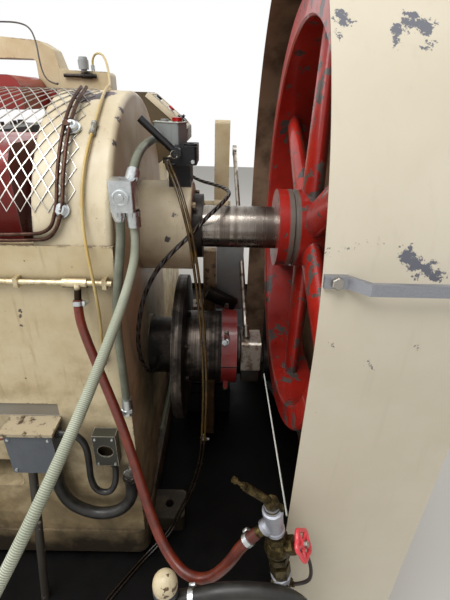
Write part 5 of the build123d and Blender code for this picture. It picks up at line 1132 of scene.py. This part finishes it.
# ram section: screwed access covers on both sides and behind, with their pull bars
sideCover = {"inner": 0.4300, "outer": 0.4355, "edge": 0.002, "screwIn": 0.02,
             "areas": ((-1, 0.60, 0.34, 1.04, 0.80), (-1, 1.16, 0.60, 1.52, 1.02),
                       (1, 1.16, 0.60, 1.52, 1.02))}
rearCover = {"low": (-0.34, 1.6000, 0.30), "high": (0.02, 1.6055, 0.72), "screwX": (-0.32, -0.16, 0.00),
             "screwZ": (0.32, 0.70)}
covers = []
coverScrews = []
for side, y0, z0, y1, z1 in sideCover["areas"]:
    xs = sorted((side * sideCover["inner"], side * sideCover["outer"]))
    covers.append(slab((xs[0], y0, z0), (xs[1], y1, z1), sideCover["edge"]))
    coverScrews += [((side * sideCover["outer"], y, z), (side, 0, 0))
                    for y in (y0 + sideCover["screwIn"], (y0 + y1) / 2, y1 - sideCover["screwIn"])
                    for z in (z0 + sideCover["screwIn"], z1 - sideCover["screwIn"])]
covers.append(slab(rearCover["low"], rearCover["high"], sideCover["edge"]))
coverScrews += [((x, rearCover["high"][1], z), (0, 1, 0)) for x in rearCover["screwX"]
                for z in rearCover["screwZ"]]
settle("accessCovers", covers, "creamEnamelCasting")
screwRow("coverScrews", coverScrews, 0.013)
pullBar = {"half": 0.05, "stand": ((0, 0.007), (0.003, 0.005), (0.024, 0.005)), "reach": 0.024,
           "start": -0.055, "bar": ((0, 0.0040), (0.003, 0.0055), (0.107, 0.0055), (0.110, 0.0040)),
           "places": (((-0.4355, 0.82, 0.70), (-1, 0, 0)), ((-0.16, 1.6055, 0.62), (0, 1, 0)),
                      ((0.4355, 1.34, 0.94), (1, 0, 0)), ((-0.4355, 1.34, 0.94), (-1, 0, 0)))}
pulls = []
for place, way in pullBar["places"]:
    across = Vector((0, 1, 0)) if way[0] else Vector((1, 0, 0))
    pulls += [turned(Vector(place) + across * pullBar["half"] * end, way, pullBar["stand"], 16)
              for end in (-1, 1)]
    pulls.append(turned(Vector(place) + across * pullBar["start"] + Vector(way) * pullBar["reach"], across,
                        pullBar["bar"], 16))
settle("coverPulls", pulls, "oiledSteel")
jointBolts = [((side * 0.478, 0.367, z), (0, 1, 0)) for side in (-1, 1) for z in (0.25, 0.50, 0.75, 1.00)]
boltRow("bedJointBolts", jointBolts, 0.024, "creamBoltEnamel")
print("access covers made")

# pale floor, a soft even world and three lamps
studio = {"floorColour": "#E4E2DD", "floorSize": 16, "floorAt": (0.2, 0.5, -0.0005), "world": 0.42,
          "worldTint": "#F1EFEB", "lamps": {
              "topLamp": {"place": (-0.4, -1.6, 4.2), "target": (0.4, 0.1, 0.9), "size": 2.4, "power": 125},
              "leftLamp": {"place": (-3.4, -1.2, 2.2), "target": (0, 0.2, 0.8), "size": 2.0, "power": 50},
              "farLamp": {"place": (3.2, 3.4, 3.0), "target": (0.2, 0.5, 0.8), "size": 2.4, "power": 45}}}
bpy.ops.mesh.primitive_plane_add(size=studio["floorSize"], location=studio["floorAt"])
floor = bpy.context.object
floor.name = "studioFloor"
finish, tree, shader = newFinish("paleStudioFloor")
shader.inputs["Base Color"].default_value = hexColour(studio["floorColour"])
shader.inputs["Roughness"].default_value = 0.8
floor.data.materials.append(finish)
world = bpy.data.worlds.new("studioWorld")
bpy.context.scene.world = world
world.use_nodes = True
tree = world.node_tree
tree.nodes.clear()
rays = addNode(tree, "ShaderNodeLightPath")
# the world is white where it is seen, and in gloss and glass, and lights the object less than that
seen = combined(tree, "MAXIMUM", rays.outputs["Is Camera Ray"], rays.outputs["Is Glossy Ray"],
                rays.outputs["Is Transmission Ray"])
strength = addNode(tree, "ShaderNodeMix", {0: seen, 2: studio["world"], 3: 1.0}, data_type="FLOAT")
tint = addNode(tree, "ShaderNodeMix", {0: seen, 6: hexColour(studio["worldTint"]), 7: hexColour("#FFFFFF")},
               data_type="RGBA")
sky = addNode(tree, "ShaderNodeBackground", {"Color": tint.outputs[2], "Strength": strength.outputs[0]})
addNode(tree, "ShaderNodeOutputWorld", {"Surface": sky})


def hangLamp(name, place, target, size, power):
    lamp = bpy.data.lights.new(name, "AREA")
    lamp.shape = "SQUARE"
    lamp.size = size
    lamp.energy = power
    lampHolder = bpy.data.objects.new(name, lamp)
    bpy.context.collection.objects.link(lampHolder)
    lampHolder.location = place
    lampHolder.rotation_euler = (Vector(target) - Vector(place)).to_track_quat("-Z", "Y").to_euler()


for name, lamp in studio["lamps"].items():
    hangLamp(name, **lamp)
print("studio lit")
